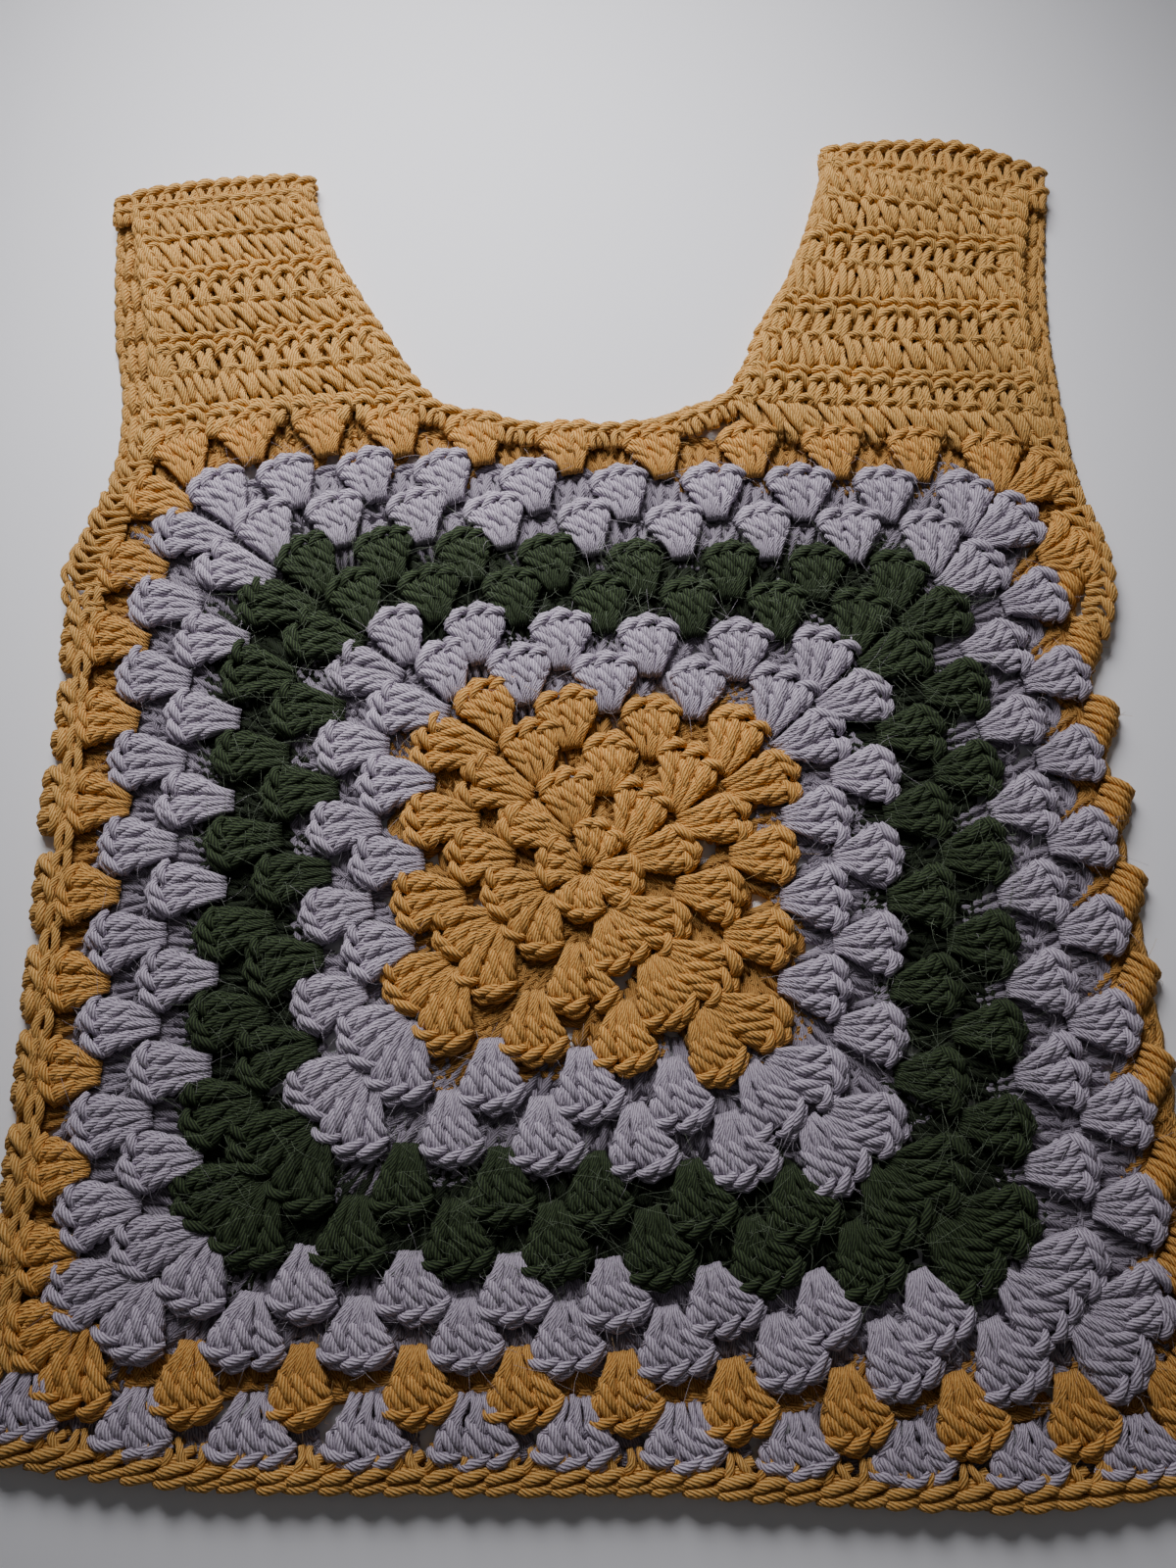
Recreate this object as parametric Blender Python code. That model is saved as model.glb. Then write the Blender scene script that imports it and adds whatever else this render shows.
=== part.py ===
"""A crocheted vest laid flat: two large granny squares, one on the other, with straps, edgings and a hem.

Sizes are in millimetres until they reach a mesh, which is in metres. +X is the wearer's left as the vest
lies face up, +Y runs towards the shoulders and +Z is up from the floor.
"""

import math
from collections import namedtuple

import bpy
import numpy as np

MM = 0.001

# Driving sizes
FABRIC = 3.4  # thickness of crocheted cloth in this yarn
LAYER_GAP = 0.3  # between the back, which lies underneath, and the front
SEAM_GAP = 0.45  # between neighbouring pieces of one layer
LAST_ROUND = 11  # rounds in each square
FRONT_UNDER = FABRIC + LAYER_GAP  # height of the front's inside face
EDGING = 5.0  # width of the worked edging round neck and armholes
CHAIN = 4.0  # width of a seam chain
CENTRE_X = 4.0  # where the squares' own origin lies in the part's frame
CENTRE_Y = -51.7

# How the clusters stand out of the front's plain wall
CLUSTER_RISE = 1.2
POST_RISE = 0.8
DIMPLE = 1.0
RIDGE_RISE = 1.1  # each second row of a strap shows its tops as a ridge
VALLEY_RISE = 0.3
EDGING_RISE = 0.6
HEM_RISE = 0.8
CHAIN_RISE = 1.2
STRAP_COLUMNS = 6

# The gaps between clusters: where they lie in a round and how wide they are
GAP_FOOT = 0.42
GAP_HEAD = 0.93
GAP_FOOT_WIDTH = 6.8
GAP_FOOT_GROWTH = 0.45  # wider by this much with each round
GAP_HEAD_WIDTH = 4.2
GAP_HEAD_GROWTH = 0.28
CLUSTER_CREST = 0.28
HELD_CLUSTERS = 2  # at an armhole the edging holds the clusters nearest the corner straight
SIDE_BOW = 0.6  # each side bulges by this much for each round
HEM_SIDE_BOW = 0.3
STRAP_PULL = 3.0  # the straps lift the top side at the left and let it sink at the right
FRONT_FIRST_GAPS = 6  # the first round whose gaps are wide enough to cut
BACK_FIRST_GAPS = 9

# Corners of each round, where the next one is worked in. The centre is skewed, as crochet worked
# always on one side is, and the squares are a little wider at the hem than at the chest.
Corners = namedtuple("Corners", "round_no tl_x tl_y tr_x tr_y br_x br_y bl_x bl_y")
ROUNDS = [
    Corners(0, -5, 2, -5, 2, -5, 2, -5, 2),
    Corners(1, -12, 16, 11, 9, 4, -14, -21, -6),
    Corners(2, -24, 31, 27, 20, 18, -28, -36, -17),
    Corners(3, -37, 46, 43, 32, 33, -45, -50, -31),
    Corners(4, -53, 60, 59, 45, 48, -61, -64, -47),
    Corners(5, -69, 73, 75, 60, 65, -77, -77, -62),
    Corners(6, -83, 86, 90, 74, 82, -92, -91, -78),
    Corners(7, -98, 99, 104, 89, 100, -106, -107, -94),
    Corners(8, -115, 112, 119, 103, 119, -121, -122, -109),
    Corners(9, -130, 126, 131, 120, 138, -133, -139, -121),
    Corners(10, -146, 140, 145, 137, 158, -146, -157, -133),
    Corners(11, -160, 157, 156, 153, 172, -157, -170, -144),
]
TOP, RIGHT, BOTTOM, LEFT = range(4)

# The worked edge of each opening, from the shoulder down
EdgePoint = namedtuple("EdgePoint", "x y")
FRONT_ARMHOLE_LEFT = [
    EdgePoint(-178, 268), EdgePoint(-171, 230), EdgePoint(-166, 208), EdgePoint(-163, 185),
    EdgePoint(-166, 163), EdgePoint(-172, 147), EdgePoint(-178, 133), EdgePoint(-184, 120),
    EdgePoint(-187, 110),
]
BACK_ARMHOLE_LEFT = [
    EdgePoint(-184, 268), EdgePoint(-182, 235), EdgePoint(-179, 208), EdgePoint(-174, 185),
    EdgePoint(-173, 163), EdgePoint(-175, 147), EdgePoint(-179, 133), EdgePoint(-184, 120),
    EdgePoint(-187, 110),
]
FRONT_ARMHOLE_RIGHT = [
    EdgePoint(168, 266), EdgePoint(161, 230), EdgePoint(160, 203), EdgePoint(162, 178),
    EdgePoint(166, 155), EdgePoint(170, 136), EdgePoint(175, 122), EdgePoint(178, 110),
]
BACK_ARMHOLE_RIGHT = [
    EdgePoint(175, 266), EdgePoint(170, 232), EdgePoint(168, 203), EdgePoint(169, 178),
    EdgePoint(170, 155), EdgePoint(172, 136), EdgePoint(175, 122), EdgePoint(178, 110),
]
NECK_LEFT = [
    EdgePoint(-110, 275), EdgePoint(-99, 243), EdgePoint(-89, 226), EdgePoint(-79, 208),
    EdgePoint(-69, 191), EdgePoint(-60, 178),
]
NECK_RIGHT = [
    EdgePoint(92, 284), EdgePoint(83, 252), EdgePoint(74, 228), EdgePoint(63, 209),
    EdgePoint(57, 193), EdgePoint(50, 179),
]

# Heights of the strap's rows at its armhole and neck edges
StrapRow = namedtuple("StrapRow", "at_armhole at_neck is_ridge")
LEFT_STRAP = [
    StrapRow(175, 182, True), StrapRow(190, 196, False), StrapRow(206, 211, True),
    StrapRow(220, 226, False), StrapRow(234, 241, True), StrapRow(249, 256, False),
    StrapRow(261, 269, False),
]
RIGHT_STRAP = [
    StrapRow(167, 176, False), StrapRow(181, 189, True), StrapRow(196, 203, False),
    StrapRow(212, 218, True), StrapRow(227, 234, False), StrapRow(241, 250, True),
    StrapRow(251, 265, False), StrapRow(259, 278, False),
]

# The lower edge and the sides of the body
HEM_EDGE = [
    EdgePoint(-184, -164), EdgePoint(-150, -170), EdgePoint(-110, -174), EdgePoint(-40, -175),
    EdgePoint(20, -176), EdgePoint(70, -179), EdgePoint(115, -181), EdgePoint(150, -178),
    EdgePoint(179, -173),
]
HEM_CHAIN = 7.5  # width of the worked lower edge
HEM_GAP_DROP = 2.4  # from the square to a gap of the hem band
HEM_GAP_HEIGHT = 4.6
HEM_GAP_HEAD = 8.8
HEM_GAP_FOOT = 4.4
HEM_FLARE_LEFT = 9.0  # how far the hem reaches past the squares' lower corners
HEM_FLARE_RIGHT = 4.0
HEM_SLACK = 0.4  # more room above the hem band, whose points lie between the square's
NECK_BAND = 4.6  # how far the neck edging stands above the square
NECK_TURN = 8.0  # how soon it turns up along a strap
NECK_DIP = 3.0  # the neckline sinks by this much more at the right
BACK_NECK_LIFT = 4.0  # the back's neckline lies higher there
SEAM_HEAD = 106.0  # the side seams' upper and lower ends
SEAM_FOOT = -142.5
LEFT_ROLL = [
    EdgePoint(-184.5, 104), EdgePoint(-182, 68), EdgePoint(-184, 34), EdgePoint(-182, -31),
    EdgePoint(-182, -98), EdgePoint(-184, -143),
]
SCALLOP = 1.6
SCALLOPS = 9
ROLL_RISES = (3.2, 2.6, 0.2)  # the roll's height over one layer of cloth, from its inner side out

# The shoulder seam's crest and its outer edge: how far past the last row, and how far below the top
SHOULDER_CREST = 3.4
SHOULDER_EDGE = 5.2
SHOULDER_CROWN = 1.2  # it bulges by this much more at mid width
SHOULDER_DROP = 2.6

MUSTARD = (0.72, 0.42, 0.13)
LILAC_GREY = (0.56, 0.51, 0.53)
WOOL_ROUGHNESS = 0.9


def between(low, high, share):
    return low + (high - low) * share


def x_at(edge, y):
    """How far across an edge lies at a height."""
    points = sorted(edge, key=lambda point: point.y)
    return float(np.interp(y, [p.y for p in points], [p.x for p in points]))


def y_at(edge, x):
    points = sorted(edge, key=lambda point: point.x)
    return float(np.interp(x, [p.x for p in points], [p.y for p in points]))


def worked_corner(number, level):
    """A round's corner: 0 top left, 1 top right, 2 bottom right, 3 bottom left. Level may be a fraction."""
    levels = [row.round_no for row in ROUNDS]
    x = np.interp(level, levels, [row[1 + 2 * number] for row in ROUNDS])
    y = np.interp(level, levels, [row[2 + 2 * number] for row in ROUNDS])
    return np.array([x, y])


class Square:
    """Where the rounds of one square lie.

    The back is a second square seen from behind, so its skew is mirrored. It has the front's outline,
    but lies a little to the left, because the vest is turned on itself by the width of its seam.
    """

    def __init__(self, from_behind):
        self.from_behind = from_behind
        steps = np.linspace(0, 1, 41)
        self.sides = [np.array([self.place(side, LAST_ROUND, step) for step in steps]) for side in range(4)]

    def corner(self, number, level):
        number %= 4
        if not self.from_behind:
            return worked_corner(number, level)
        other = (1, 0, 3, 2)[number]
        middle = np.mean([worked_corner(n, LAST_ROUND)[0] for n in range(4)])
        flip = np.array([-1, 1])
        shift = np.array([2 * middle, 0])
        here = worked_corner(other, level) * flip + shift
        outermost = worked_corner(other, LAST_ROUND) * flip + shift
        turned = np.array([-CHAIN - SEAM_GAP, 0])
        return here + (worked_corner(number, LAST_ROUND) - outermost) * (level / LAST_ROUND) ** 2 + turned

    def side_length(self, side, level):
        return max(float(np.hypot(*(self.corner(side + 1, level) - self.corner(side, level)))), 1e-6)

    def place(self, side, level, along):
        """A point of the square: how many rounds out, and how far along that side, from 0 to 1."""
        start = self.corner(side, level)
        run = self.corner(side + 1, level) - start
        outward = np.array([-run[1], run[0]]) / self.side_length(side, level)
        bow = HEM_SIDE_BOW if side == BOTTOM else SIDE_BOW
        bulge = bow * level * (1 - (2 * along - 1) ** 4)
        if side == TOP:
            bulge += STRAP_PULL * math.sin(2 * math.pi * along) * (level / LAST_ROUND) ** 3
        return start + run * along + outward * bulge

    def top_at(self, x):
        line = self.sides[TOP]
        return float(np.interp(x, line[:, 0], line[:, 1]))

    def bottom_at(self, x):
        line = self.sides[BOTTOM][::-1]
        return float(np.interp(x, line[:, 0], line[:, 1]))

    def side_at(self, hand, y):
        """Where the left (-1) or right (1) side lies at a height."""
        line = self.sides[LEFT] if hand < 0 else self.sides[RIGHT][::-1]
        return float(np.interp(y, line[:, 1], line[:, 0]))


FRONT_SQUARE = Square(from_behind=False)
BACK_SQUARE = Square(from_behind=True)

# A layer is a square with the height it lies at and its armhole edges
Layer = namedtuple("Layer", "name square under armhole_left armhole_right neck_lift")
FRONT = Layer("front", FRONT_SQUARE, FRONT_UNDER, FRONT_ARMHOLE_LEFT, FRONT_ARMHOLE_RIGHT, 0.0)
BACK = Layer("back", BACK_SQUARE, 0.0, BACK_ARMHOLE_LEFT, BACK_ARMHOLE_RIGHT, BACK_NECK_LIFT)

# A shoulder has the rows of its straps and its neck edge; hand is -1 at the left and 1 at the right
Shoulder = namedtuple("Shoulder", "name hand rows neck")
LEFT_SHOULDER = Shoulder("left", -1, LEFT_STRAP, NECK_LEFT)
RIGHT_SHOULDER = Shoulder("right", 1, RIGHT_STRAP, NECK_RIGHT)


def armhole_of(layer, shoulder):
    return layer.armhole_left if shoulder.hand < 0 else layer.armhole_right


class Sheet:
    """Flat points with heights and faces, which become one closed wall over a plain underside."""

    def __init__(self, under):
        self.under = under
        self.places = []
        self.tops = []
        self.faces = []
        self.known = {}

    def point(self, place, rise=0.0, key=None):
        if key is not None and key in self.known:
            return self.known[key]
        self.places.append((float(place[0]), float(place[1])))
        self.tops.append(self.under + FABRIC + rise)
        if key is not None:
            self.known[key] = len(self.places) - 1
        return len(self.places) - 1

    def face(self, *corners):
        self.faces.append(corners)

    def grid(self, rows):
        """Joins rows of equally many points by four-sided faces, each row above the last."""
        for lower, upper in zip(rows, rows[1:]):
            for k in range(len(lower) - 1):
                self.face(lower[k], lower[k + 1], upper[k + 1], upper[k])

    def build(self, name, material):
        count = len(self.places)
        above = [(x, y, z) for (x, y), z in zip(self.places, self.tops)]
        below = [(x, y, self.under) for x, y in self.places]
        faces = list(self.faces)
        faces += [tuple(count + v for v in reversed(face)) for face in self.faces]
        edges = {(a, b) for face in self.faces for a, b in zip(face, face[1:] + face[:1])}
        for a, b in sorted(edges):
            if (b, a) not in edges:
                faces.append((b, a, count + a, count + b))
        return add_object(name, above + below, faces, material)


def add_object(name, points, faces, material):
    placed = [((x + CENTRE_X) * MM, (y + CENTRE_Y) * MM, z * MM) for x, y, z in points]
    mesh = bpy.data.meshes.new(name)
    mesh.from_pydata(placed, [], faces)
    mesh.validate()
    mesh.materials.append(material)
    obj = bpy.data.objects.new(name, mesh)
    bpy.context.scene.collection.objects.link(obj)
    return obj


def yarn(name, red, green, blue):
    material = bpy.data.materials.new(name)
    material.use_nodes = True
    shader = material.node_tree.nodes["Principled BSDF"]
    shader.inputs["Base Color"].default_value = (red, green, blue, 1)
    shader.inputs["Roughness"].default_value = WOOL_ROUGHNESS
    shader.inputs["Metallic"].default_value = 0.0
    material.diffuse_color = (red, green, blue, 1)
    return material


def granny_square(name, material, layer, first_gaps, loose_sides):
    """Rounds of clusters. Each gap lies above one cluster, between two of the next round.

    loose_sides end in the clusters' own scalloped tops, and the others in a straight line.
    """
    sheet = Sheet(layer.under)
    square = layer.square
    relief = layer is FRONT
    rise = CLUSTER_RISE if relief else 0.0

    def joint(side, level, k):
        """The place between two clusters' tops, where the next round's cluster is worked."""
        if level == 0:
            return sheet.point(square.corner(0, 0), key="centre")
        if k in (0, level):
            number = (side + (k == level)) % 4
            return sheet.point(square.corner(number, level), key=("corner", level, number))
        return sheet.point(square.place(side, level, k / level), key=("joint", side, level, k))

    def crest(side, level, k):
        """The middle of a cluster's top, which lies a little beyond the joints beside it."""
        along = (k + 0.5) / level
        if level < LAST_ROUND:
            place = square.place(side, level + CLUSTER_CREST, along)
        else:
            place = square.place(side, level, along)
            if side in loose_sides and k >= HELD_CLUSTERS:
                place = 2 * place - square.place(side, level - CLUSTER_CREST, along)
        return sheet.point(place, rise=rise, key=("crest", side, level, k))

    def post(side, level, k):
        """The middle of a cluster's posts."""
        foot = k / (level - 1) if level > 1 else 0.5
        along = between(foot, (k + 0.5) / level, 0.5)
        return sheet.point(square.place(side, level - 0.5, along), rise=POST_RISE, key=("post", side, level, k))

    def gap(side, level, k):
        """Four corners: foot left and right, then head right and left."""
        fall = 0.0 if level >= first_gaps else -DIMPLE
        foot = GAP_FOOT_WIDTH + GAP_FOOT_GROWTH * level
        head = GAP_HEAD_WIDTH + GAP_HEAD_GROWTH * level
        found = []
        for share, width in ((GAP_FOOT, -foot), (GAP_FOOT, foot), (GAP_HEAD, head), (GAP_HEAD, -head)):
            at = level - 1 + share
            along = between((k + 0.5) / (level - 1), (k + 1) / level, share)
            along += width / 2 / square.side_length(side, at)
            key = ("gap", side, level, k, share, width > 0)
            found.append(sheet.point(square.place(side, at, along), rise=fall, key=key))
        return found

    def raised_cluster(side, level, k):
        foot = joint(side, level - 1, k)
        middle = post(side, level, k)
        top = crest(side, level, k)
        before = joint(side, level, k)
        after = joint(side, level, k + 1)
        if k < level - 1:
            foot_left, _, _, head_left = gap(side, level, k)
            sheet.face(foot, foot_left, middle)
            sheet.face(middle, foot_left, head_left, top)
            sheet.face(top, head_left, after)
        else:
            sheet.face(foot, after, middle)
            sheet.face(middle, after, top)
        if k > 0:
            _, foot_right, head_right, _ = gap(side, level, k - 1)
            sheet.face(foot, middle, foot_right)
            sheet.face(middle, top, head_right, foot_right)
            sheet.face(head_right, top, before)
        else:
            sheet.face(foot, middle, before)
            sheet.face(middle, top, before)

    def raised_gap(side, level, k):
        foot_left, foot_right, head_right, head_left = gap(side, level, k)
        inner = crest(side, level - 1, k)
        sheet.face(joint(side, level - 1, k), inner, foot_left)
        sheet.face(inner, foot_right, foot_left)
        sheet.face(inner, joint(side, level - 1, k + 1), foot_right)
        sheet.face(head_left, head_right, joint(side, level, k + 1))
        if level < first_gaps:
            sheet.face(foot_left, foot_right, head_right, head_left)

    def plain_round(side, level):
        for k in range(level):
            foot = joint(side, level - 1, k)
            outline = [foot]
            if k < level - 1:
                foot_left, _, _, head_left = gap(side, level, k)
                outline += [foot_left, head_left]
            outline += [joint(side, level, k + 1), joint(side, level, k)]
            if k > 0:
                _, foot_right, head_right, _ = gap(side, level, k - 1)
                outline += [head_right, foot_right]
            sheet.face(*outline)
        for k in range(level - 1):
            foot_left, foot_right, head_right, head_left = gap(side, level, k)
            sheet.face(joint(side, level - 1, k), joint(side, level - 1, k + 1), foot_right, foot_left)
            sheet.face(head_left, head_right, joint(side, level, k + 1))

    def uncut_round(side, level):
        for k in range(level):
            sheet.face(joint(side, level - 1, k), joint(side, level, k + 1), joint(side, level, k))
        for k in range(level - 1):
            sheet.face(joint(side, level - 1, k), joint(side, level - 1, k + 1), joint(side, level, k + 1))

    for side in range(4):
        for level in range(1, LAST_ROUND + 1):
            if relief:
                for k in range(level):
                    raised_cluster(side, level, k)
                for k in range(level - 1):
                    raised_gap(side, level, k)
            elif level >= first_gaps:
                plain_round(side, level)
            else:
                uncut_round(side, level)
    return sheet.build(name, material)


def strap_foot(layer, shoulder):
    """A strap's lowest corners, on the square's top side: at the armhole, then at the neck."""
    armhole = armhole_of(layer, shoulder)
    inset = shoulder.hand * (EDGING + SEAM_GAP)
    y = armhole[-1].y
    for _ in range(8):
        armhole_x = x_at(armhole, y) - inset
        y = layer.square.top_at(armhole_x) + SEAM_GAP
    neck_x = shoulder.neck[-1].x + inset + shoulder.hand
    return (armhole_x, y), (neck_x, layer.square.top_at(neck_x) + SEAM_GAP)


def strap(material, layer, shoulder):
    """A strap worked in rows from the square's top side to the shoulder."""
    sheet = Sheet(layer.under)
    relief = layer.under > 0
    shares = np.linspace(0, 1, STRAP_COLUMNS)
    armhole = armhole_of(layer, shoulder)
    inset = shoulder.hand * (EDGING + SEAM_GAP)
    at_armhole, at_neck = strap_foot(layer, shoulder)
    foot = []
    for share in shares:
        x = between(at_armhole[0], at_neck[0], share)
        foot.append((x, layer.square.top_at(x) + SEAM_GAP))
    levels = [(foot, 0.0)]
    for row in shoulder.rows:
        start = np.array([x_at(armhole, row.at_armhole) - inset, row.at_armhole])
        end = np.array([x_at(shoulder.neck, row.at_neck) + inset, row.at_neck])
        line = [between(start, end, share) for share in shares]
        if relief and len(levels) > 1:
            last = levels[-1][0]
            levels.append(([between(p, q, 0.5) for p, q in zip(last, line)], VALLEY_RISE))
        levels.append((line, RIDGE_RISE if relief and row.is_ridge else 0.0))
    built = []
    for line, rise in levels:
        found = [sheet.point(place, rise=rise) for place in line]
        built.append(found if shoulder.hand < 0 else found[::-1])
    sheet.grid(built)
    return sheet.build(f"{layer.name}_{shoulder.name}_strap", material)


def strip(name, material, under, pairs, relief=EDGING_RISE):
    """A worked edging: pairs of points on its fabric side and its free side.

    Its middle is raised, but the back's lies flat under the front.
    """
    sheet = Sheet(under)
    if under == 0:
        relief = 0.0
    lines = [[], [], []]
    for inner, outer in pairs:
        middle = (between(inner[0], outer[0], 0.5), between(inner[1], outer[1], 0.5))
        lines[0].append(sheet.point(inner))
        lines[1].append(sheet.point(middle, rise=relief))
        lines[2].append(sheet.point(outer))
    sheet.grid(lines)
    return sheet.build(name, material)


def armhole_edging(material, layer, shoulder):
    """Runs from the shoulder down to the underarm, first along the strap and then round the square."""
    hand = shoulder.hand
    armhole = armhole_of(layer, shoulder)
    pairs = []
    for row in reversed(shoulder.rows):
        x = x_at(armhole, row.at_armhole)
        pairs.append(((x - hand * EDGING, row.at_armhole), (x, row.at_armhole)))
    foot_x, foot_y = strap_foot(layer, shoulder)[0]
    pairs.append(((foot_x + hand * SEAM_GAP, foot_y), (x_at(armhole, foot_y), foot_y)))
    for point in armhole:
        if point.y < foot_y - 1:
            inner = layer.square.side_at(hand, point.y) + hand * SEAM_GAP
            outer = hand * max(hand * point.x, hand * inner + CHAIN)
            pairs.append(((inner, point.y), (outer, point.y)))
    if hand < 0:
        pairs.reverse()
    return strip(f"{layer.name}_{shoulder.name}_armhole_edging", material, layer.under, pairs)


def neck_edging(material, layer):
    """One strip down the left strap, across the neckline and up the right strap."""
    pairs = []
    for row in reversed(LEFT_STRAP):
        x = x_at(NECK_LEFT, row.at_neck)
        pairs.append(((x - EDGING, row.at_neck), (x, row.at_neck)))
    foot_x, foot_y = strap_foot(layer, LEFT_SHOULDER)[1]
    turn_x = NECK_LEFT[-1].x + NECK_TURN
    pairs.append(((foot_x + SEAM_GAP, foot_y), (turn_x, NECK_LEFT[-1].y - NECK_TURN / 2)))
    far_x = NECK_RIGHT[-1].x - NECK_TURN
    for share in np.linspace(0.12, 0.94, 6):
        x = between(turn_x, far_x, share)
        foot = layer.square.top_at(x) + SEAM_GAP
        pairs.append(((x, foot), (x, foot + NECK_BAND + layer.neck_lift * share)))
    foot_x, foot_y = strap_foot(layer, RIGHT_SHOULDER)[1]
    turn_y = NECK_RIGHT[-1].y - NECK_TURN / 2 - NECK_DIP + layer.neck_lift
    pairs.append(((foot_x - SEAM_GAP, foot_y), (far_x + 2, turn_y)))
    for row in RIGHT_STRAP:
        x = x_at(NECK_RIGHT, row.at_neck)
        pairs.append(((x + EDGING, row.at_neck), (x, row.at_neck)))
    return strip(f"{layer.name}_neck_edging", material, layer.under, pairs)


def shoulder_seam(material, shoulder):
    """The rounded fold where front and back straps are joined, as thick as both."""
    last = shoulder.rows[-1]
    inset = shoulder.hand * (EDGING + SEAM_GAP)
    start = np.array([x_at(armhole_of(BACK, shoulder), last.at_armhole) - inset, last.at_armhole + SEAM_GAP])
    end = np.array([x_at(shoulder.neck, last.at_neck) + inset, last.at_neck + SEAM_GAP])
    across = [start + (inset, 0)]
    across += [between(start, end, share) for share in np.linspace(0, 1, 5)]
    across.append(end - (inset, 0))
    if shoulder.hand > 0:
        across.reverse()
    sheet = Sheet(0.0)
    lines = [[], [], []]
    for share, place in zip(np.linspace(0, 1, len(across)), across):
        crown = SHOULDER_CROWN * math.sin(math.pi * share)
        lines[0].append(sheet.point(place, rise=FRONT_UNDER))
        lines[1].append(sheet.point(place + (0, SHOULDER_CREST + crown), rise=FRONT_UNDER))
        lines[2].append(sheet.point(place + (0, SHOULDER_EDGE + crown), rise=FRONT_UNDER - SHOULDER_DROP))
    sheet.grid(lines)
    return sheet.build(f"{shoulder.name}_shoulder_seam", material)


def hem_band(material, layer):
    """The round worked below the squares: clusters that widen downwards, with a gap beside each."""
    sheet = Sheet(layer.under)
    clusters = LAST_ROUND + 1
    left = FRONT_SQUARE.corner(3, LAST_ROUND)[0] - HEM_FLARE_LEFT
    right = FRONT_SQUARE.corner(2, LAST_ROUND)[0] + HEM_FLARE_RIGHT
    pitch = (right - left) / clusters
    top, foot = [], []
    for k in range(clusters + 1):
        x = left + k * pitch
        top.append(sheet.point((x, layer.square.bottom_at(x) - SEAM_GAP - HEM_SLACK)))
        foot.append(sheet.point((x, y_at(HEM_EDGE, x) + HEM_CHAIN + SEAM_GAP)))
    for k in range(clusters):
        if layer is BACK or k in (0, clusters - 1):
            sheet.face(foot[k], foot[k + 1], top[k + 1], top[k])
            continue
        middle = left + (k + 0.5) * pitch
        high = layer.square.bottom_at(middle) - HEM_GAP_DROP
        low = high - HEM_GAP_HEIGHT
        corners = [
            sheet.point((middle - HEM_GAP_FOOT / 2, low)),
            sheet.point((middle + HEM_GAP_FOOT / 2, low)),
            sheet.point((middle + HEM_GAP_HEAD / 2, high)),
            sheet.point((middle - HEM_GAP_HEAD / 2, high)),
        ]
        sheet.face(foot[k], foot[k + 1], corners[1], corners[0])
        sheet.face(foot[k + 1], top[k + 1], corners[2], corners[1])
        sheet.face(top[k + 1], top[k], corners[3], corners[2])
        sheet.face(top[k], foot[k], corners[0], corners[3])
    return sheet.build(f"{layer.name}_hem_band", material)


def hem_edge(material, layer):
    pairs = [((point.x, point.y + HEM_CHAIN), (point.x, point.y)) for point in reversed(HEM_EDGE)]
    return strip(f"{layer.name}_hem_edge", material, layer.under, pairs, relief=HEM_RISE)


def left_seam(material):
    """The chain that joins front and back. It shows because the vest is turned a little on itself."""
    pairs = []
    for y in np.linspace(SEAM_FOOT, SEAM_HEAD, 10):
        x = FRONT_SQUARE.side_at(-1, y) - SEAM_GAP
        pairs.append(((x, y), (x - CHAIN, y)))
    return strip("left_side_seam", material, FRONT_UNDER, pairs, relief=CHAIN_RISE)


def left_roll(material):
    """The back's last round where it rolls over to the front: one rounded solid with a scalloped edge."""
    sheet = Sheet(0.0)
    lines = [[], [], []]
    steps = 2 * SCALLOPS
    for step in range(steps + 1):
        y = between(SEAM_FOOT, SEAM_HEAD, step / steps)
        inner = FRONT_SQUARE.side_at(-1, y) - 2 * SEAM_GAP - CHAIN
        outer = x_at(LEFT_ROLL, y) - (SCALLOP if step % 2 else -SCALLOP)
        for line, rise, share in zip(lines, ROLL_RISES, (0, 0.6, 1)):
            line.append(sheet.point((between(inner, outer, share), y), rise=rise))
    sheet.grid(lines)
    return sheet.build("left_side_roll", material)


def right_seam(material):
    """The same chain on the other side, hidden under the front's last round."""
    pairs = []
    for y in np.linspace(SEAM_HEAD, SEAM_FOOT, 10):
        x = FRONT_SQUARE.side_at(1, y)
        pairs.append(((x - CHAIN, y), (x, y)))
    return strip("right_side_seam", material, 0.0, pairs)


def clear_scene():
    for obj in list(bpy.data.objects):
        bpy.data.objects.remove(obj, do_unlink=True)


def build():
    clear_scene()
    mustard = yarn("mustard_wool", *MUSTARD)
    lilac = yarn("lilac_grey_wool", *LILAC_GREY)

    granny_square("front_square", mustard, FRONT, FRONT_FIRST_GAPS, (RIGHT,))
    granny_square("back_square", mustard, BACK, BACK_FIRST_GAPS, ())
    for layer in (FRONT, BACK):
        for shoulder in (LEFT_SHOULDER, RIGHT_SHOULDER):
            strap(mustard, layer, shoulder)
            armhole_edging(mustard, layer, shoulder)
        neck_edging(mustard, layer)
        hem_band(lilac, layer)
        hem_edge(mustard, layer)
    shoulder_seam(mustard, LEFT_SHOULDER)
    shoulder_seam(mustard, RIGHT_SHOULDER)
    left_seam(mustard)
    left_roll(mustard)
    right_seam(mustard)


build()
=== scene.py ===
"""The looks of a crocheted vest laid flat: every stitch is yarn, on the lattice of its CAD solids.

Sizes are in millimetres on the vest's own lattice, and in metres in a mesh. +X is the wearer's left
as the vest lies face up, +Y runs towards the shoulders and +Z is up from the floor.
"""

import math
from collections import namedtuple

import bpy
import numpy as np
from mathutils import Matrix, Vector


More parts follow.
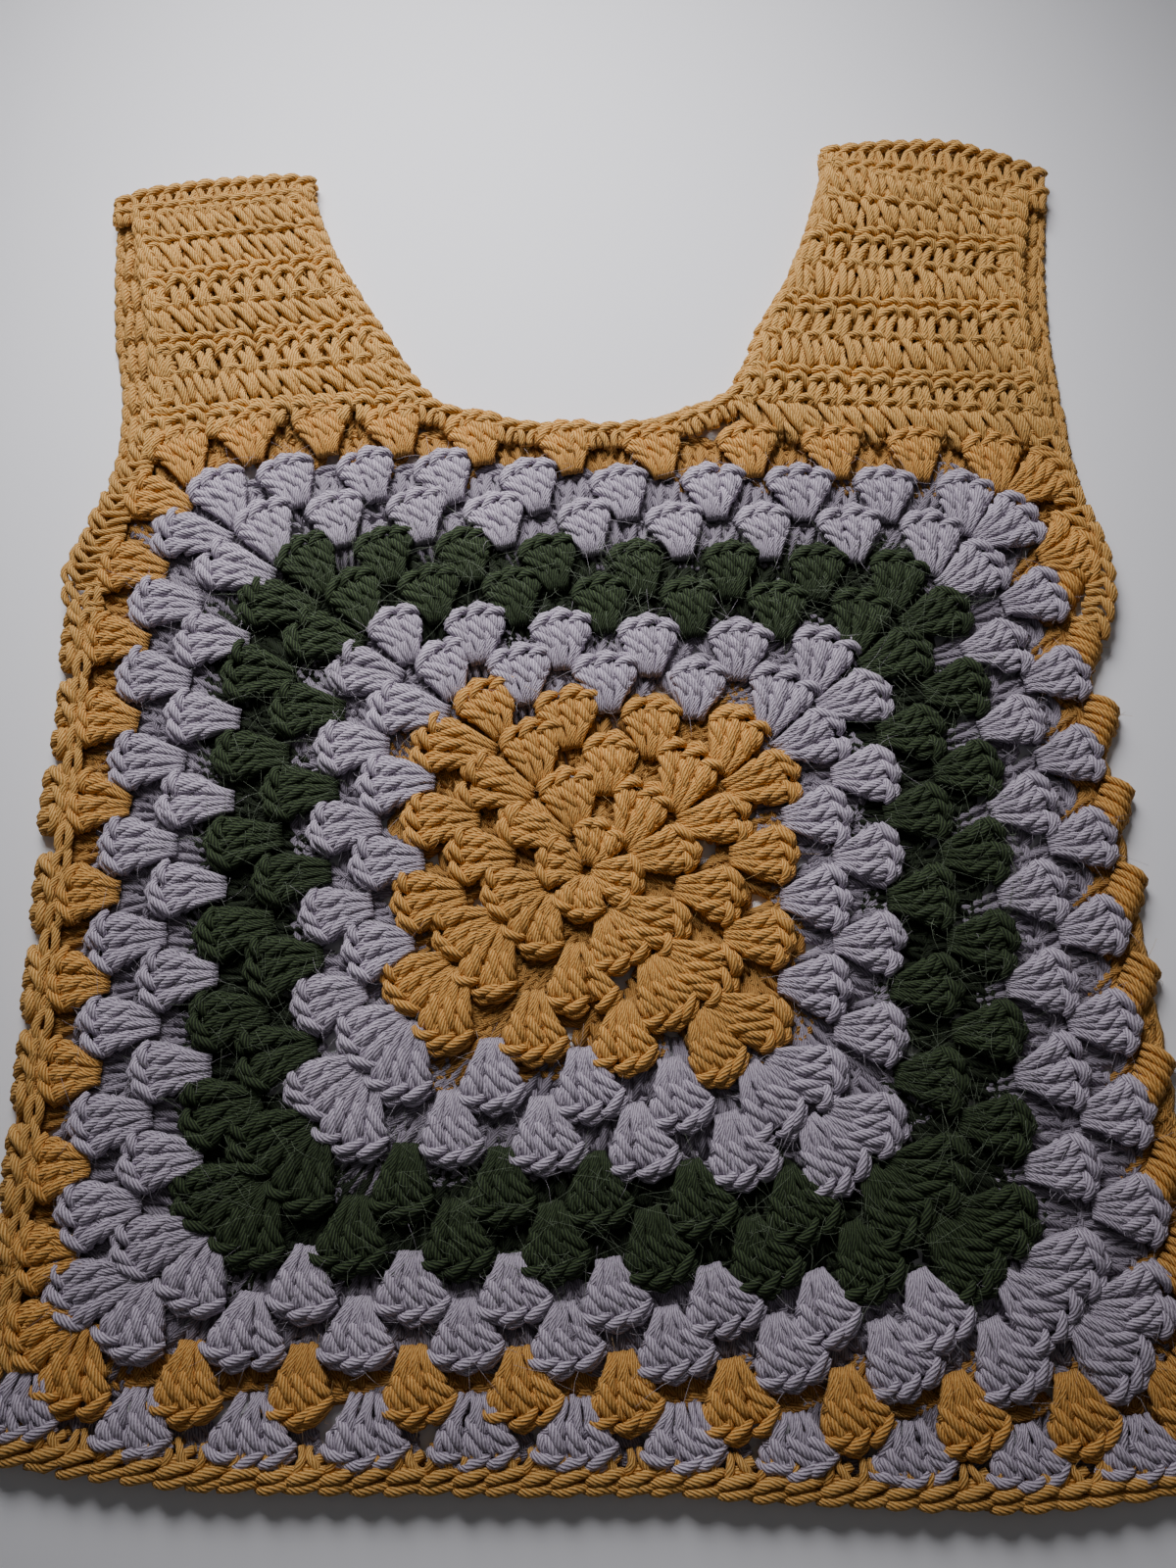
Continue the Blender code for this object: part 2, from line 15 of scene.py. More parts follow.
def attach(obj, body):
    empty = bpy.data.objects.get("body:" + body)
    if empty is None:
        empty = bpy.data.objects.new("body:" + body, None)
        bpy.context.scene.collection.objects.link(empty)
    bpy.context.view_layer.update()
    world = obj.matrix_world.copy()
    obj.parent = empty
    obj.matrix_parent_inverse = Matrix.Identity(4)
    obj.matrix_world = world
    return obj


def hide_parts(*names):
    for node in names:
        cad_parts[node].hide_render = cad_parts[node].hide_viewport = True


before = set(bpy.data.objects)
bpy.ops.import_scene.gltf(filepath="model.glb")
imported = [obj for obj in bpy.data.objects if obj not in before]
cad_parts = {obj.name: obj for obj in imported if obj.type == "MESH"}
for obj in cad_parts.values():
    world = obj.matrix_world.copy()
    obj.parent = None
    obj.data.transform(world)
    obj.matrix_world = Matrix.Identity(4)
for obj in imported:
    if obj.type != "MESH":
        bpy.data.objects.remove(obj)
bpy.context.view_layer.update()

MM = 0.001
CENTRE = np.array([4.0, -51.7, 0.0])  # where the lattice's own origin lies in the part's frame
FRONT_UNDER = 3.7  # the front's inside face, over the back
INSIDE = 3.55  # height of the vest's inside, between its two layers
CHAIN = 4.0  # width of a seam chain
EDGING = 5.0  # width of the worked edging round neck and armholes
SEAM_GAP = 0.45  # between pieces that are sewn together
LAST_ROUND = 11
CENTRE_ROUNDS = 4
SEED = 7

# How a square is drawn out of its straight sides
SIDE_BOW = 0.6  # each side bulges by this much for each round
HEM_SIDE_BOW = 0.3
STRAP_PULL = 3.0  # the straps lift the top side at the left and let it sink at the right
TOP_LIFT = 3.0  # the front's rounds above the centre lie this much nearer the neck
BACK_TURN = 0.5  # the back's clusters lie half a cluster further round, behind the front's gaps
SIDE_STEPS = 41
STRAY_ROUND = 10

# Corners of each round, where the next one is worked in. The centre is skewed, as crochet worked
# always on one side is, and the squares are a little wider at the hem than at the chest.
Corners = namedtuple("Corners", "round_no tl_x tl_y tr_x tr_y br_x br_y bl_x bl_y")
ROUNDS = [
    Corners(0, -5, 2, -5, 2, -5, 2, -5, 2),
    Corners(1, -12, 16, 11, 9, 4, -14, -21, -6),
    Corners(2, -24, 31, 27, 20, 18, -28, -36, -17),
    Corners(3, -37, 46, 43, 32, 33, -45, -50, -31),
    Corners(4, -53, 60, 59, 45, 48, -61, -64, -47),
    Corners(5, -69, 73, 75, 60, 65, -77, -77, -62),
    Corners(6, -83, 86, 90, 74, 82, -92, -91, -78),
    Corners(7, -98, 99, 104, 89, 100, -106, -107, -94),
    Corners(8, -115, 112, 119, 103, 119, -121, -122, -109),
    Corners(9, -130, 126, 131, 120, 138, -133, -139, -121),
    Corners(10, -146, 140, 145, 137, 158, -146, -157, -133),
    Corners(11, -160, 157, 156, 153, 172, -157, -170, -144),
]
TOP, RIGHT, BOTTOM, LEFT = range(4)
# How far the tenth round's clusters stray from an even grid, along their side and outwards, where
# straps, seams and hem pull on them. Clockwise from the top left corner.
STRAY = {
    TOP: [(-3.5, 3.0), (-7.6, 4.5), (-9.0, 5.0), (-11.0, 4.0), (-9.0, 1.5), (-6.0, 0.0), (-2.5, 1.5),
          (-0.6, 1.5), (0.0, 1.0), (-1.8, 0.0)],
    RIGHT: [(-1.0, 2.0), (0.0, 4.0), (0.0, 5.5), (0.0, 5.0), (0.0, 4.0), (0.5, 2.5), (1.0, 0.5),
            (0.0, 0.0), (-2.0, 0.0), (-4.0, 0.0)],
    BOTTOM: [(-5.0, 0.0), (-4.0, 3.0), (-4.0, 3.0), (-3.2, 2.0), (-2.6, 0.5), (-3.2, 0.0), (-5.5, 0.0),
             (-5.5, 1.0), (-4.0, 2.0), (-2.4, 2.0)],
    LEFT: [(-4.0, 1.5), (-8.0, 0.0), (-9.5, -1.0), (-8.0, 0.0), (-8.0, 1.2), (-5.4, 1.6), (-3.6, 2.4),
           (-1.5, 4.2), (-1.0, 4.6), (-1.0, 2.2)],
}

# The worked edge of each opening, from the shoulder down
FRONT_ARMHOLE_LEFT = [
    (-178, 268), (-171, 230), (-166, 208), (-163, 185), (-166, 163), (-172, 147), (-178, 133),
    (-184, 120), (-187, 110), (-186, 102), (-181, 94),
]
BACK_ARMHOLE_LEFT = [
    (-184, 268), (-182, 235), (-179, 208), (-174, 185), (-173, 163), (-175, 147), (-179, 133),
    (-184, 120), (-187, 110),
]
FRONT_ARMHOLE_RIGHT = [
    (168, 266), (161, 230), (160, 203), (162, 178), (166, 155), (170, 136), (175, 122), (178, 110),
    (177.5, 97), (172, 80),
]
BACK_ARMHOLE_RIGHT = [
    (175, 266), (170, 232), (168, 203), (169, 178), (170, 155), (172, 136), (175, 122), (178, 110),
]
NECK_LEFT = [(-110, 275), (-99, 243), (-89, 226), (-79, 208), (-69, 191), (-60, 178)]
NECK_RIGHT = [(92, 284), (83, 252), (74, 228), (63, 209), (57, 193), (50, 179)]
HEM_EDGE = [
    (-184, -164), (-150, -170), (-110, -174), (-40, -175), (20, -176), (70, -179), (115, -181),
    (150, -178), (179, -173),
]
LEFT_ROLL = [(-184.5, 104), (-182, 68), (-184, 34), (-182, -31), (-182, -98), (-184, -143)]

# Heights of the strap's rows at its armhole and neck edges. A ridge row shows its wrong side.
StrapRow = namedtuple("StrapRow", "at_armhole at_neck is_ridge")
LEFT_STRAP = [
    StrapRow(175, 182, True), StrapRow(190, 196, False), StrapRow(206, 211, True),
    StrapRow(220, 226, False), StrapRow(234, 241, True), StrapRow(249, 256, False),
    StrapRow(261, 269, False),
]
RIGHT_STRAP = [
    StrapRow(167, 176, False), StrapRow(181, 189, True), StrapRow(196, 203, False),
    StrapRow(212, 218, True), StrapRow(227, 234, False), StrapRow(241, 250, True),
    StrapRow(251, 265, False), StrapRow(259, 278, False),
]
HEM_CHAIN = 7.5
SEAM_HEAD = 106.0
SEAM_FOOT = -142.5

# Stitches. Each strand is a line through points (across, up, height, radius): across runs from -0.5 to
# 0.5 of the stitch, up from 0 at its foot to 1 at its top chain, and height is in mm over the cloth's
# wrong side. The yarn is squeezed to 2 mm where a stitch is worked in and swells to 3.5 mm where free.
Strand = namedtuple("Strand", "rings plain_rings points")
DOUBLE_CROCHET = [
    Strand(7, 4, [(-0.24, -0.12, 0.8, 0.95), (-0.19, 0.02, 2.4, 1.05), (-0.17, 0.20, 2.9, 1.25),
                  (-0.27, 0.40, 2.8, 1.45), (-0.48, 0.56, 1.7, 1.40)]),
    Strand(6, 4, [(0.27, -0.12, 0.8, 0.95), (0.22, 0.02, 2.3, 1.05), (0.20, 0.20, 2.7, 1.20),
                  (0.27, 0.38, 2.5, 1.35), (0.44, 0.54, 1.6, 1.30)]),
    Strand(6, 4, [(-0.58, 0.80, 1.4, 1.30), (-0.42, 0.71, 2.8, 1.65), (-0.08, 0.54, 3.4, 1.72),
                  (0.24, 0.38, 2.9, 1.60), (0.42, 0.28, 1.4, 1.20)]),
    Strand(6, 4, [(-0.42, 0.99, 1.2, 1.30), (-0.28, 0.90, 2.5, 1.60), (0.00, 0.75, 3.1, 1.65),
                  (0.26, 0.59, 2.6, 1.45), (0.38, 0.48, 1.2, 1.20)]),
    Strand(5, 3, [(0.14, 0.94, 1.5, 1.15), (0.34, 0.82, 2.3, 1.40), (0.48, 0.69, 2.3, 1.35),
                  (0.50, 0.56, 1.4, 1.10)]),
    Strand(7, 5, [(-0.66, 0.84, 1.8, 1.05), (-0.38, 0.91, 3.0, 1.55), (0.02, 1.00, 3.3, 1.70),
                  (0.36, 1.07, 2.9, 1.55), (0.66, 1.05, 1.7, 1.10)]),
    Strand(5, 4, [(-0.60, 1.02, 1.1, 1.20), (-0.18, 1.14, 1.8, 1.40), (0.26, 1.15, 1.8, 1.40),
                  (0.60, 1.03, 1.1, 1.20)]),
]
# The stitch's own post, the two plies of yarn that the loops wrap: with its neighbours it is the cloth
POST = [
    Strand(3, 3, [(-0.24, 0.02, 1.0, 1.0), (-0.27, 0.50, 0.9, 1.35), (-0.25, 0.94, 1.1, 1.45)]),
    Strand(3, 3, [(0.22, 0.02, 1.0, 1.0), (0.26, 0.50, 0.9, 1.35), (0.25, 0.94, 1.1, 1.45)]),
]
BROAD_POST = [
    Strand(3, 3, [(-0.26, 0.00, 0.9, 1.5), (-0.28, 0.50, 0.8, 1.7), (-0.25, 0.98, 1.0, 1.6)]),
    Strand(3, 3, [(0.22, 0.00, 0.9, 1.5), (0.26, 0.50, 0.8, 1.7), (0.25, 0.98, 1.0, 1.6)]),
]
# Where the front's last round turns down over the side, only its plump legs show
ROLLED_CROCHET = [
    Strand(8, 4, [(-0.66, -0.12, 0.8, 1.00), (-0.50, 0.12, 2.3, 1.45), (-0.22, 0.36, 3.0, 1.75),
                  (0.00, 0.62, 3.0, 1.75), (0.10, 0.98, 2.2, 1.50)]),
    Strand(8, 4, [(-0.10, -0.12, 0.8, 1.00), (0.06, 0.12, 2.2, 1.40), (0.34, 0.36, 2.8, 1.70),
                  (0.50, 0.62, 2.8, 1.70), (0.60, 0.98, 2.2, 1.50)]),
]
# In the straps' plain rows the yarn crosses each stitch in steep diagonals, under a low chain
SLANTED_CROCHET = [
    Strand(7, 4, [(-0.54, 0.98, 1.5, 1.25), (-0.40, 0.84, 2.9, 1.55), (-0.12, 0.56, 3.4, 1.65),
                  (0.12, 0.28, 2.9, 1.55), (0.24, 0.10, 1.5, 1.20)]),
    Strand(6, 4, [(-0.44, 0.46, 1.2, 1.20), (-0.34, 0.32, 2.3, 1.40), (-0.20, 0.12, 2.5, 1.40),
                  (-0.10, -0.10, 1.5, 1.20)]),
    Strand(6, 4, [(0.00, 0.90, 1.2, 1.20), (0.18, 0.74, 2.5, 1.50), (0.36, 0.46, 2.7, 1.50),
                  (0.44, 0.22, 1.5, 1.20)]),
    Strand(6, 4, [(-0.60, 0.98, 1.5, 1.15), (-0.22, 1.06, 2.8, 1.45), (0.22, 1.06, 2.8, 1.45),
                  (0.60, 0.98, 1.5, 1.15)]),
]
# The same stitch from its wrong side: two upright posts with a slit beside them, under an arched chain
WRONG_SIDE_CROCHET = [
    Strand(6, 4, [(-0.14, -0.16, 1.6, 1.40), (-0.14, 0.06, 2.6, 1.70), (-0.18, 0.28, 2.9, 1.70),
                  (-0.28, 0.50, 2.5, 1.55), (-0.40, 0.68, 1.5, 1.25)]),
    Strand(6, 4, [(0.18, -0.16, 1.6, 1.40), (0.15, 0.06, 2.6, 1.65), (0.12, 0.28, 2.8, 1.65),
                  (0.18, 0.50, 2.4, 1.55), (0.30, 0.68, 1.5, 1.25)]),
    Strand(7, 5, [(-0.62, 0.46, 1.7, 1.25), (-0.40, 0.60, 3.1, 1.65), (-0.02, 0.76, 3.7, 1.75),
                  (0.36, 0.66, 3.1, 1.65), (0.60, 0.48, 1.7, 1.25)]),
    Strand(6, 4, [(-0.56, 0.88, 1.6, 1.40), (-0.25, 0.99, 2.7, 1.60), (0.20, 1.04, 2.7, 1.60),
                  (0.56, 0.96, 1.6, 1.40)]),
]
SINGLE_CROCHET = [
    Strand(6, 4, [(-0.14, -0.50, 1.6, 1.15), (-0.15, -0.12, 2.5, 1.30), (-0.28, 0.30, 2.8, 1.35),
                  (-0.44, 0.70, 1.8, 1.20)]),
    Strand(6, 4, [(0.20, -0.50, 1.6, 1.15), (0.18, -0.12, 2.4, 1.30), (0.22, 0.26, 2.6, 1.35),
                  (0.38, 0.62, 1.8, 1.20)]),
    Strand(3, 3, [(-0.5, -0.30, 1.1, 1.3), (-0.5, 0.20, 1.2, 1.5), (-0.5, 0.70, 1.4, 1.4)]),
    Strand(7, 5, [(-0.62, 0.48, 1.6, 1.10), (-0.34, 0.62, 2.8, 1.45), (0.06, 0.82, 3.1, 1.55),
                  (0.42, 0.92, 2.7, 1.40), (0.66, 0.84, 1.6, 1.10)]),
    Strand(6, 4, [(-0.58, 0.90, 1.2, 1.15), (-0.14, 1.06, 1.9, 1.35), (0.28, 1.06, 1.9, 1.35),
                  (0.60, 0.90, 1.2, 1.15)]),
]
# The hem's edge is worked loosely: fat slanting chains that overlap, on short legs
HEM_CROCHET = [
    Strand(6, 4, [(-0.04, -0.36, 0.8, 0.95), (-0.08, -0.14, 2.0, 1.20), (-0.22, 0.12, 2.5, 1.40),
                  (-0.42, 0.45, 1.8, 1.30)]),
    Strand(6, 4, [(0.20, -0.36, 0.8, 0.95), (0.18, -0.14, 1.9, 1.20), (0.20, 0.12, 2.4, 1.40),
                  (0.34, 0.45, 1.8, 1.30)]),
    Strand(7, 5, [(-0.68, 0.36, 1.3, 1.10), (-0.38, 0.38, 2.8, 1.55), (0.02, 0.50, 3.5, 1.75),
                  (0.38, 0.63, 3.0, 1.60), (0.62, 0.66, 1.3, 1.15)]),
    Strand(7, 5, [(-0.66, 0.80, 1.0, 1.15), (-0.30, 0.82, 2.4, 1.55), (0.04, 0.88, 2.9, 1.70),
                  (0.38, 0.95, 2.6, 1.55), (0.62, 0.96, 1.0, 1.15)]),
    Strand(3, 3, [(-0.5, -0.10, 1.0, 1.4), (0.0, 0.30, 1.2, 1.6), (0.5, 0.60, 1.2, 1.5)]),
]
CHAIN_LINK = [
    Strand(7, 5, [(0.02, -0.28, 1.2, 1.05), (-0.28, 0.05, 2.4, 1.35), (-0.36, 0.50, 2.9, 1.50),
                  (-0.22, 0.92, 2.4, 1.35), (0.05, 1.22, 1.3, 1.05)]),
    Strand(7, 5, [(0.00, -0.28, 1.2, 1.05), (0.30, 0.08, 2.3, 1.35), (0.36, 0.52, 2.7, 1.50),
                  (0.20, 0.94, 2.3, 1.35), (0.00, 1.22, 1.3, 1.05)]),
]


def between(low, high, share):
    return low + (high - low) * share


def x_at(edge, y):
    return y_at([(across, up) for up, across in edge], y)


def y_at(edge, x):
    points = sorted(edge)
    return np.interp(x, [p[0] for p in points], [p[1] for p in points])


def worked_corner(number, level):
    levels = [row.round_no for row in ROUNDS]
    x = np.interp(level, levels, [row[1 + 2 * number] for row in ROUNDS])
    y = np.interp(level, levels, [row[2 + 2 * number] for row in ROUNDS])
    return np.stack([x, y], axis=-1)


class Square:
    """Where the rounds of one square lie. The back is the same square seen from behind."""

    def __init__(self, from_behind):
        self.from_behind = from_behind
        steps = np.linspace(0, 1, SIDE_STEPS)
        outermost = np.full(SIDE_STEPS, LAST_ROUND)
        self.sides = [self.place(side, outermost, steps) for side in range(4)]

    def corner(self, number, level):
        number %= 4
        level = np.asarray(level, float)
        past = np.maximum(level - LAST_ROUND, 0)[..., None]
        grown = worked_corner(number, level)
        grown += past * (worked_corner(number, LAST_ROUND) - worked_corner(number, LAST_ROUND - 1))
        if not self.from_behind:
            return grown
        other = (1, 0, 3, 2)[number]
        middle = np.mean([worked_corner(n, LAST_ROUND)[0] for n in range(4)])
        flip = np.array([-1, 1])
        shift = np.array([2 * middle, 0])
        here = worked_corner(other, level) * flip + shift
        outermost = worked_corner(other, LAST_ROUND) * flip + shift
        turned = np.array([-CHAIN - SEAM_GAP, 0])
        share = (np.minimum(level, LAST_ROUND)[..., None] / LAST_ROUND) ** 2
        return here + (worked_corner(number, LAST_ROUND) - outermost) * share + turned

    def side_length(self, side, level):
        run = self.corner(side + 1, level) - self.corner(side, level)
        return np.maximum(np.hypot(run[..., 0], run[..., 1]), 1e-6)

    def place(self, side, level, along):
        """A point of the square: how many rounds out, and how far along that side, from 0 to 1."""
        level = np.asarray(level, float)
        along = np.asarray(along, float)
        if self.from_behind:
            turned = np.clip(np.sin(np.pi * along), 0, 1) ** 0.25
            along = along + BACK_TURN * turned / np.maximum(level, 1)
        start = self.corner(side, level)
        run = self.corner(side + 1, level) - start
        sideways = run / self.side_length(side, level)[..., None]
        outward = np.stack([-sideways[..., 1], sideways[..., 0]], axis=-1)
        bow = HEM_SIDE_BOW if side == BOTTOM else SIDE_BOW
        bulge = bow * level * (1 - (2 * along - 1) ** 4)
        if side == TOP:
            bulge = bulge + STRAP_PULL * np.sin(2 * np.pi * along) * (level / LAST_ROUND) ** 3
        if self.from_behind:
            return start + run * along[..., None] + outward * bulge[..., None]
        along_by, out_by = np.array([(0, 0)] + STRAY[side] + [(0, 0)], float).T
        shares = [0] + [(n + 0.5) / STRAY_ROUND for n in range(STRAY_ROUND)] + [1]
        grown = np.minimum(level / STRAY_ROUND, 1.1) ** 3
        slid = np.interp(along, shares, along_by) * grown
        bulge = bulge + np.interp(along, shares, out_by) * grown
        if side == TOP:
            bulge = bulge + TOP_LIFT * np.interp(level, [0, 3, 8, 10], [0, 1, 1, 0])
        on_side = start + run * along[..., None]
        return on_side + sideways * slid[..., None] + outward * bulge[..., None]

    def top_at(self, x):
        line = self.sides[TOP]
        return np.interp(x, line[:, 0], line[:, 1])

    def side_at(self, hand, y):
        line = self.sides[LEFT] if hand < 0 else self.sides[RIGHT][::-1]
        return np.interp(y, line[:, 1], line[:, 0])


FRONT_SQUARE = Square(from_behind=False)
BACK_SQUARE = Square(from_behind=True)

# A layer is a square with its armhole edges; the back shows its right side to the floor
Layer = namedtuple("Layer", "name square is_front armhole_left armhole_right neckline")
FRONT = Layer("front", FRONT_SQUARE, True, FRONT_ARMHOLE_LEFT, FRONT_ARMHOLE_RIGHT,
              [(-46, 173), (-27, 168), (-3, 166), (19, 167), (36, 171)])
BACK = Layer("back", BACK_SQUARE, False, BACK_ARMHOLE_LEFT, BACK_ARMHOLE_RIGHT,
             [(-46, 172), (-27, 168), (-3, 167), (19, 169), (34, 175)])
Shoulder = namedtuple("Shoulder", "name hand rows neck")
LEFT_SHOULDER = Shoulder("left", -1, LEFT_STRAP, NECK_LEFT)
RIGHT_SHOULDER = Shoulder("right", 1, RIGHT_STRAP, NECK_RIGHT)
SHOULDERS = (LEFT_SHOULDER, RIGHT_SHOULDER)


def armhole_of(layer, shoulder):
    return layer.armhole_left if shoulder.hand < 0 else layer.armhole_right


def smooth_line_weights(point_count, ring_count):
    """How much each given point counts at each ring of a smooth line through them."""
    weights = np.zeros((ring_count, point_count))
    for ring, at in enumerate(np.linspace(0, point_count - 1, ring_count)):
        first = min(int(at), point_count - 2)
        t = at - first
        shares = (-t + 2 * t * t - t ** 3, 2 - 5 * t * t + 3 * t ** 3,
                  t + 4 * t * t - 3 * t ** 3, t ** 3 - t * t)
        for step, share in zip((-1, 0, 1, 2), shares):
            weights[ring, min(max(first + step, 0), point_count - 1)] += share / 2
    return weights


def in_scene(name, data):
    thing = bpy.data.objects.new(name, data)
    bpy.context.scene.collection.objects.link(thing)
    return thing


def unit(vectors):
    return vectors / np.maximum(np.linalg.norm(vectors, axis=-1, keepdims=True), 1e-9)


YARN_HEIGHT = 0.94  # of its width
TWIST_START = 60  # each length starts somewhere in this many mm of twist

# Loose fibres, from root to tip
FIBRE_RADII = np.array([0.07, 0.06, 0.05, 0.04])
FIBRE_SIDES = 3
FIBRE_ROOT = 0.2  # how deep in the yarn a fibre starts
LOWEST_ROOT = -0.2  # fibres start where the yarn faces at least this far upwards
ALONG_YARN = 0.8  # how far a fibre leans along its yarn
SCATTER = 0.6
LOWERED_AIM = (1, 1, 0.4)  # fibres lie down on the cloth more than they stand up
LOWERED_BEND = (1, 1, 0.3)


class Yarn:
    """Lengths of yarn that become one piece."""

    def __init__(self, chance):
        self.chance = chance
        self.points, self.corners, self.starts, self.twist, self.surface = [], [], [], [], []
        self.point_count = self.corner_count = 0

    def lay(self, controls, radii, rings, sides):
        """Lays one tube along each row of control points (tubes, points, xyz in mm)."""
        tubes = len(controls)
        weights = smooth_line_weights(controls.shape[1], rings)
        line = np.einsum("rc,ncx->nrx", weights, controls)
        tangent = unit(np.gradient(line, axis=1))
        across = unit(np.cross(tangent[:, 0], [0, 0, 1.0]) + [1e-5, 0, 0])
        frames = []
        for ring in range(rings):
            here = tangent[:, ring]
            across = unit(across - here * np.sum(across * here, axis=1, keepdims=True))
            frames.append(across)
        side = np.stack(frames, axis=1)
        above = np.cross(side, tangent)
        turn = np.arange(sides) * 2 * np.pi / sides
        swell = weights @ radii
        ring_points = line[:, :, None] + swell[None, :, None, None] * (
            side[:, :, None] * np.cos(turn)[:, None]
            + YARN_HEIGHT * above[:, :, None] * np.sin(turn)[:, None]
        )
        ring_points[..., 2] = np.maximum(ring_points[..., 2], 0.0)  # the vest's underside is flat
        outward = unit(ring_points - line[:, :, None])
        run = np.broadcast_to(tangent[:, :, None], outward.shape)
        self.surface.append([part[:, 1:-1].reshape(-1, 3) for part in (ring_points, outward, run)])
        first = self.point_count
        index = first + np.arange(tubes * rings * sides).reshape(tubes, rings, sides)
        after = np.roll(index, -1, axis=2)
        quads = np.stack([index[:, :-1], index[:, 1:], after[:, 1:], after[:, :-1]], axis=-1)
        quads = quads.reshape(-1, 4)
        steps = np.linalg.norm(np.diff(line, axis=1), axis=2)
        length = np.concatenate([np.zeros((tubes, 1)), np.cumsum(steps, axis=1)], axis=1)
        length = length + self.chance.uniform(0, TWIST_START, (tubes, 1))
        around = np.broadcast_to(np.arange(sides) / sides, (tubes, rings - 1, sides))
        step = 1 / sides
        low = np.broadcast_to(length[:, :-1, None], around.shape)
        high = np.broadcast_to(length[:, 1:, None], around.shape)
        twist = np.stack([around, low, around, high, around + step, high, around + step, low], axis=-1)
        ends = np.concatenate([index[:, 0], index[:, -1, ::-1]])
        self.points.append(ring_points.reshape(-1, 3))
        for faces in (quads, ends):
            self.corners.append(faces.ravel())
            self.starts.append(self.corner_count + np.arange(len(faces)) * faces.shape[1])
            self.corner_count += faces.size
        self.twist += [twist.ravel(), np.zeros(ends.size * 2)]
        self.point_count += tubes * rings * sides

    def shed(self, count, longest):
        """Loose fibres that stand off this yarn, each a fine closed tube rooted in it."""
        roots, outward, along = [np.concatenate(part).reshape(-1, 3) for part in zip(*self.surface)]
        upper = np.flatnonzero(outward[:, 2] > LOWEST_ROOT)
        chosen = self.chance.choice(upper, count, replace=False)
        roots, outward, along = roots[chosen], outward[chosen], along[chosen]
        aim = unit(outward + along * self.chance.choice([-ALONG_YARN, ALONG_YARN], (count, 1))
                   + self.chance.normal(0, SCATTER, (count, 3))) * LOWERED_AIM
        bend = self.chance.normal(0, SCATTER, (count, 3)) * LOWERED_BEND
        length = self.chance.uniform(0.3, 1.0, (count, 1, 1)) * longest
        steps = np.linspace(0, 1, len(FIBRE_RADII))[:, None]
        controls = roots[:, None] - outward[:, None] * FIBRE_ROOT
        controls = controls + (aim[:, None] * steps + bend[:, None] * steps ** 2) * length
        halo = Yarn(self.chance)
        halo.lay(controls, FIBRE_RADII, len(FIBRE_RADII), FIBRE_SIDES)
        return halo

    def piece(self, name, material):
        """One mesh of all the lengths, in the part's frame and in metres."""
        mesh = bpy.data.meshes.new(name)
        points = (np.concatenate(self.points) + CENTRE) * MM
        corners = np.concatenate(self.corners)
        starts = np.concatenate(self.starts)
        mesh.vertices.add(len(points))
        mesh.vertices.foreach_set("co", points.ravel())
        mesh.loops.add(len(corners))
        mesh.loops.foreach_set("vertex_index", corners.astype(np.int32))
        mesh.polygons.add(len(starts))
        mesh.polygons.foreach_set("loop_start", starts.astype(np.int32))
        mesh.update(calc_edges=True)
        twist = mesh.uv_layers.new(name="PlyTwist")
        twist.data.foreach_set("uv", np.concatenate(self.twist).astype(np.float32))
        mesh.shade_smooth()
        mesh.materials.append(material)
        return in_scene(name, mesh)


# Where stitches stand: foot and head are (stitches, 2); place is -1, 0 or 1 in a cluster of three
Stitches = namedtuple("Stitches", "foot head place foot_width head_width sag")
FRONT_SIDES = 6
BACK_SIDES = 4
JITTER = 0.16  # mm, how far a strand strays from its even path
LOOSE_JITTER = 0.3  # in the straps' rows and the hem
LEAN = 0.05  # how far stitches lean aside, as a share of their height
PLUMPNESS = 0.12  # mm, how much higher or lower than the next a stitch stands
RISE_JITTER = 0.6  # strands stray this much less up and down
FAN_CURVE = 0.6  # below 1, a cluster widens most just above its foot
HALF_CLUSTER = 1.5  # stitches
WRONG_SIDE = 0.8  # the height from which the back's relief is measured
BACK_UPPER = 2.5  # the back's own height there, once laid face down
BACK_RELIEF = 0.6
BACK_SQUEEZE = 0.8  # the back's yarn is pressed this flat
BACK_SWELL = 1.15  # the back's yarn is this much thicker, to close the view through the front


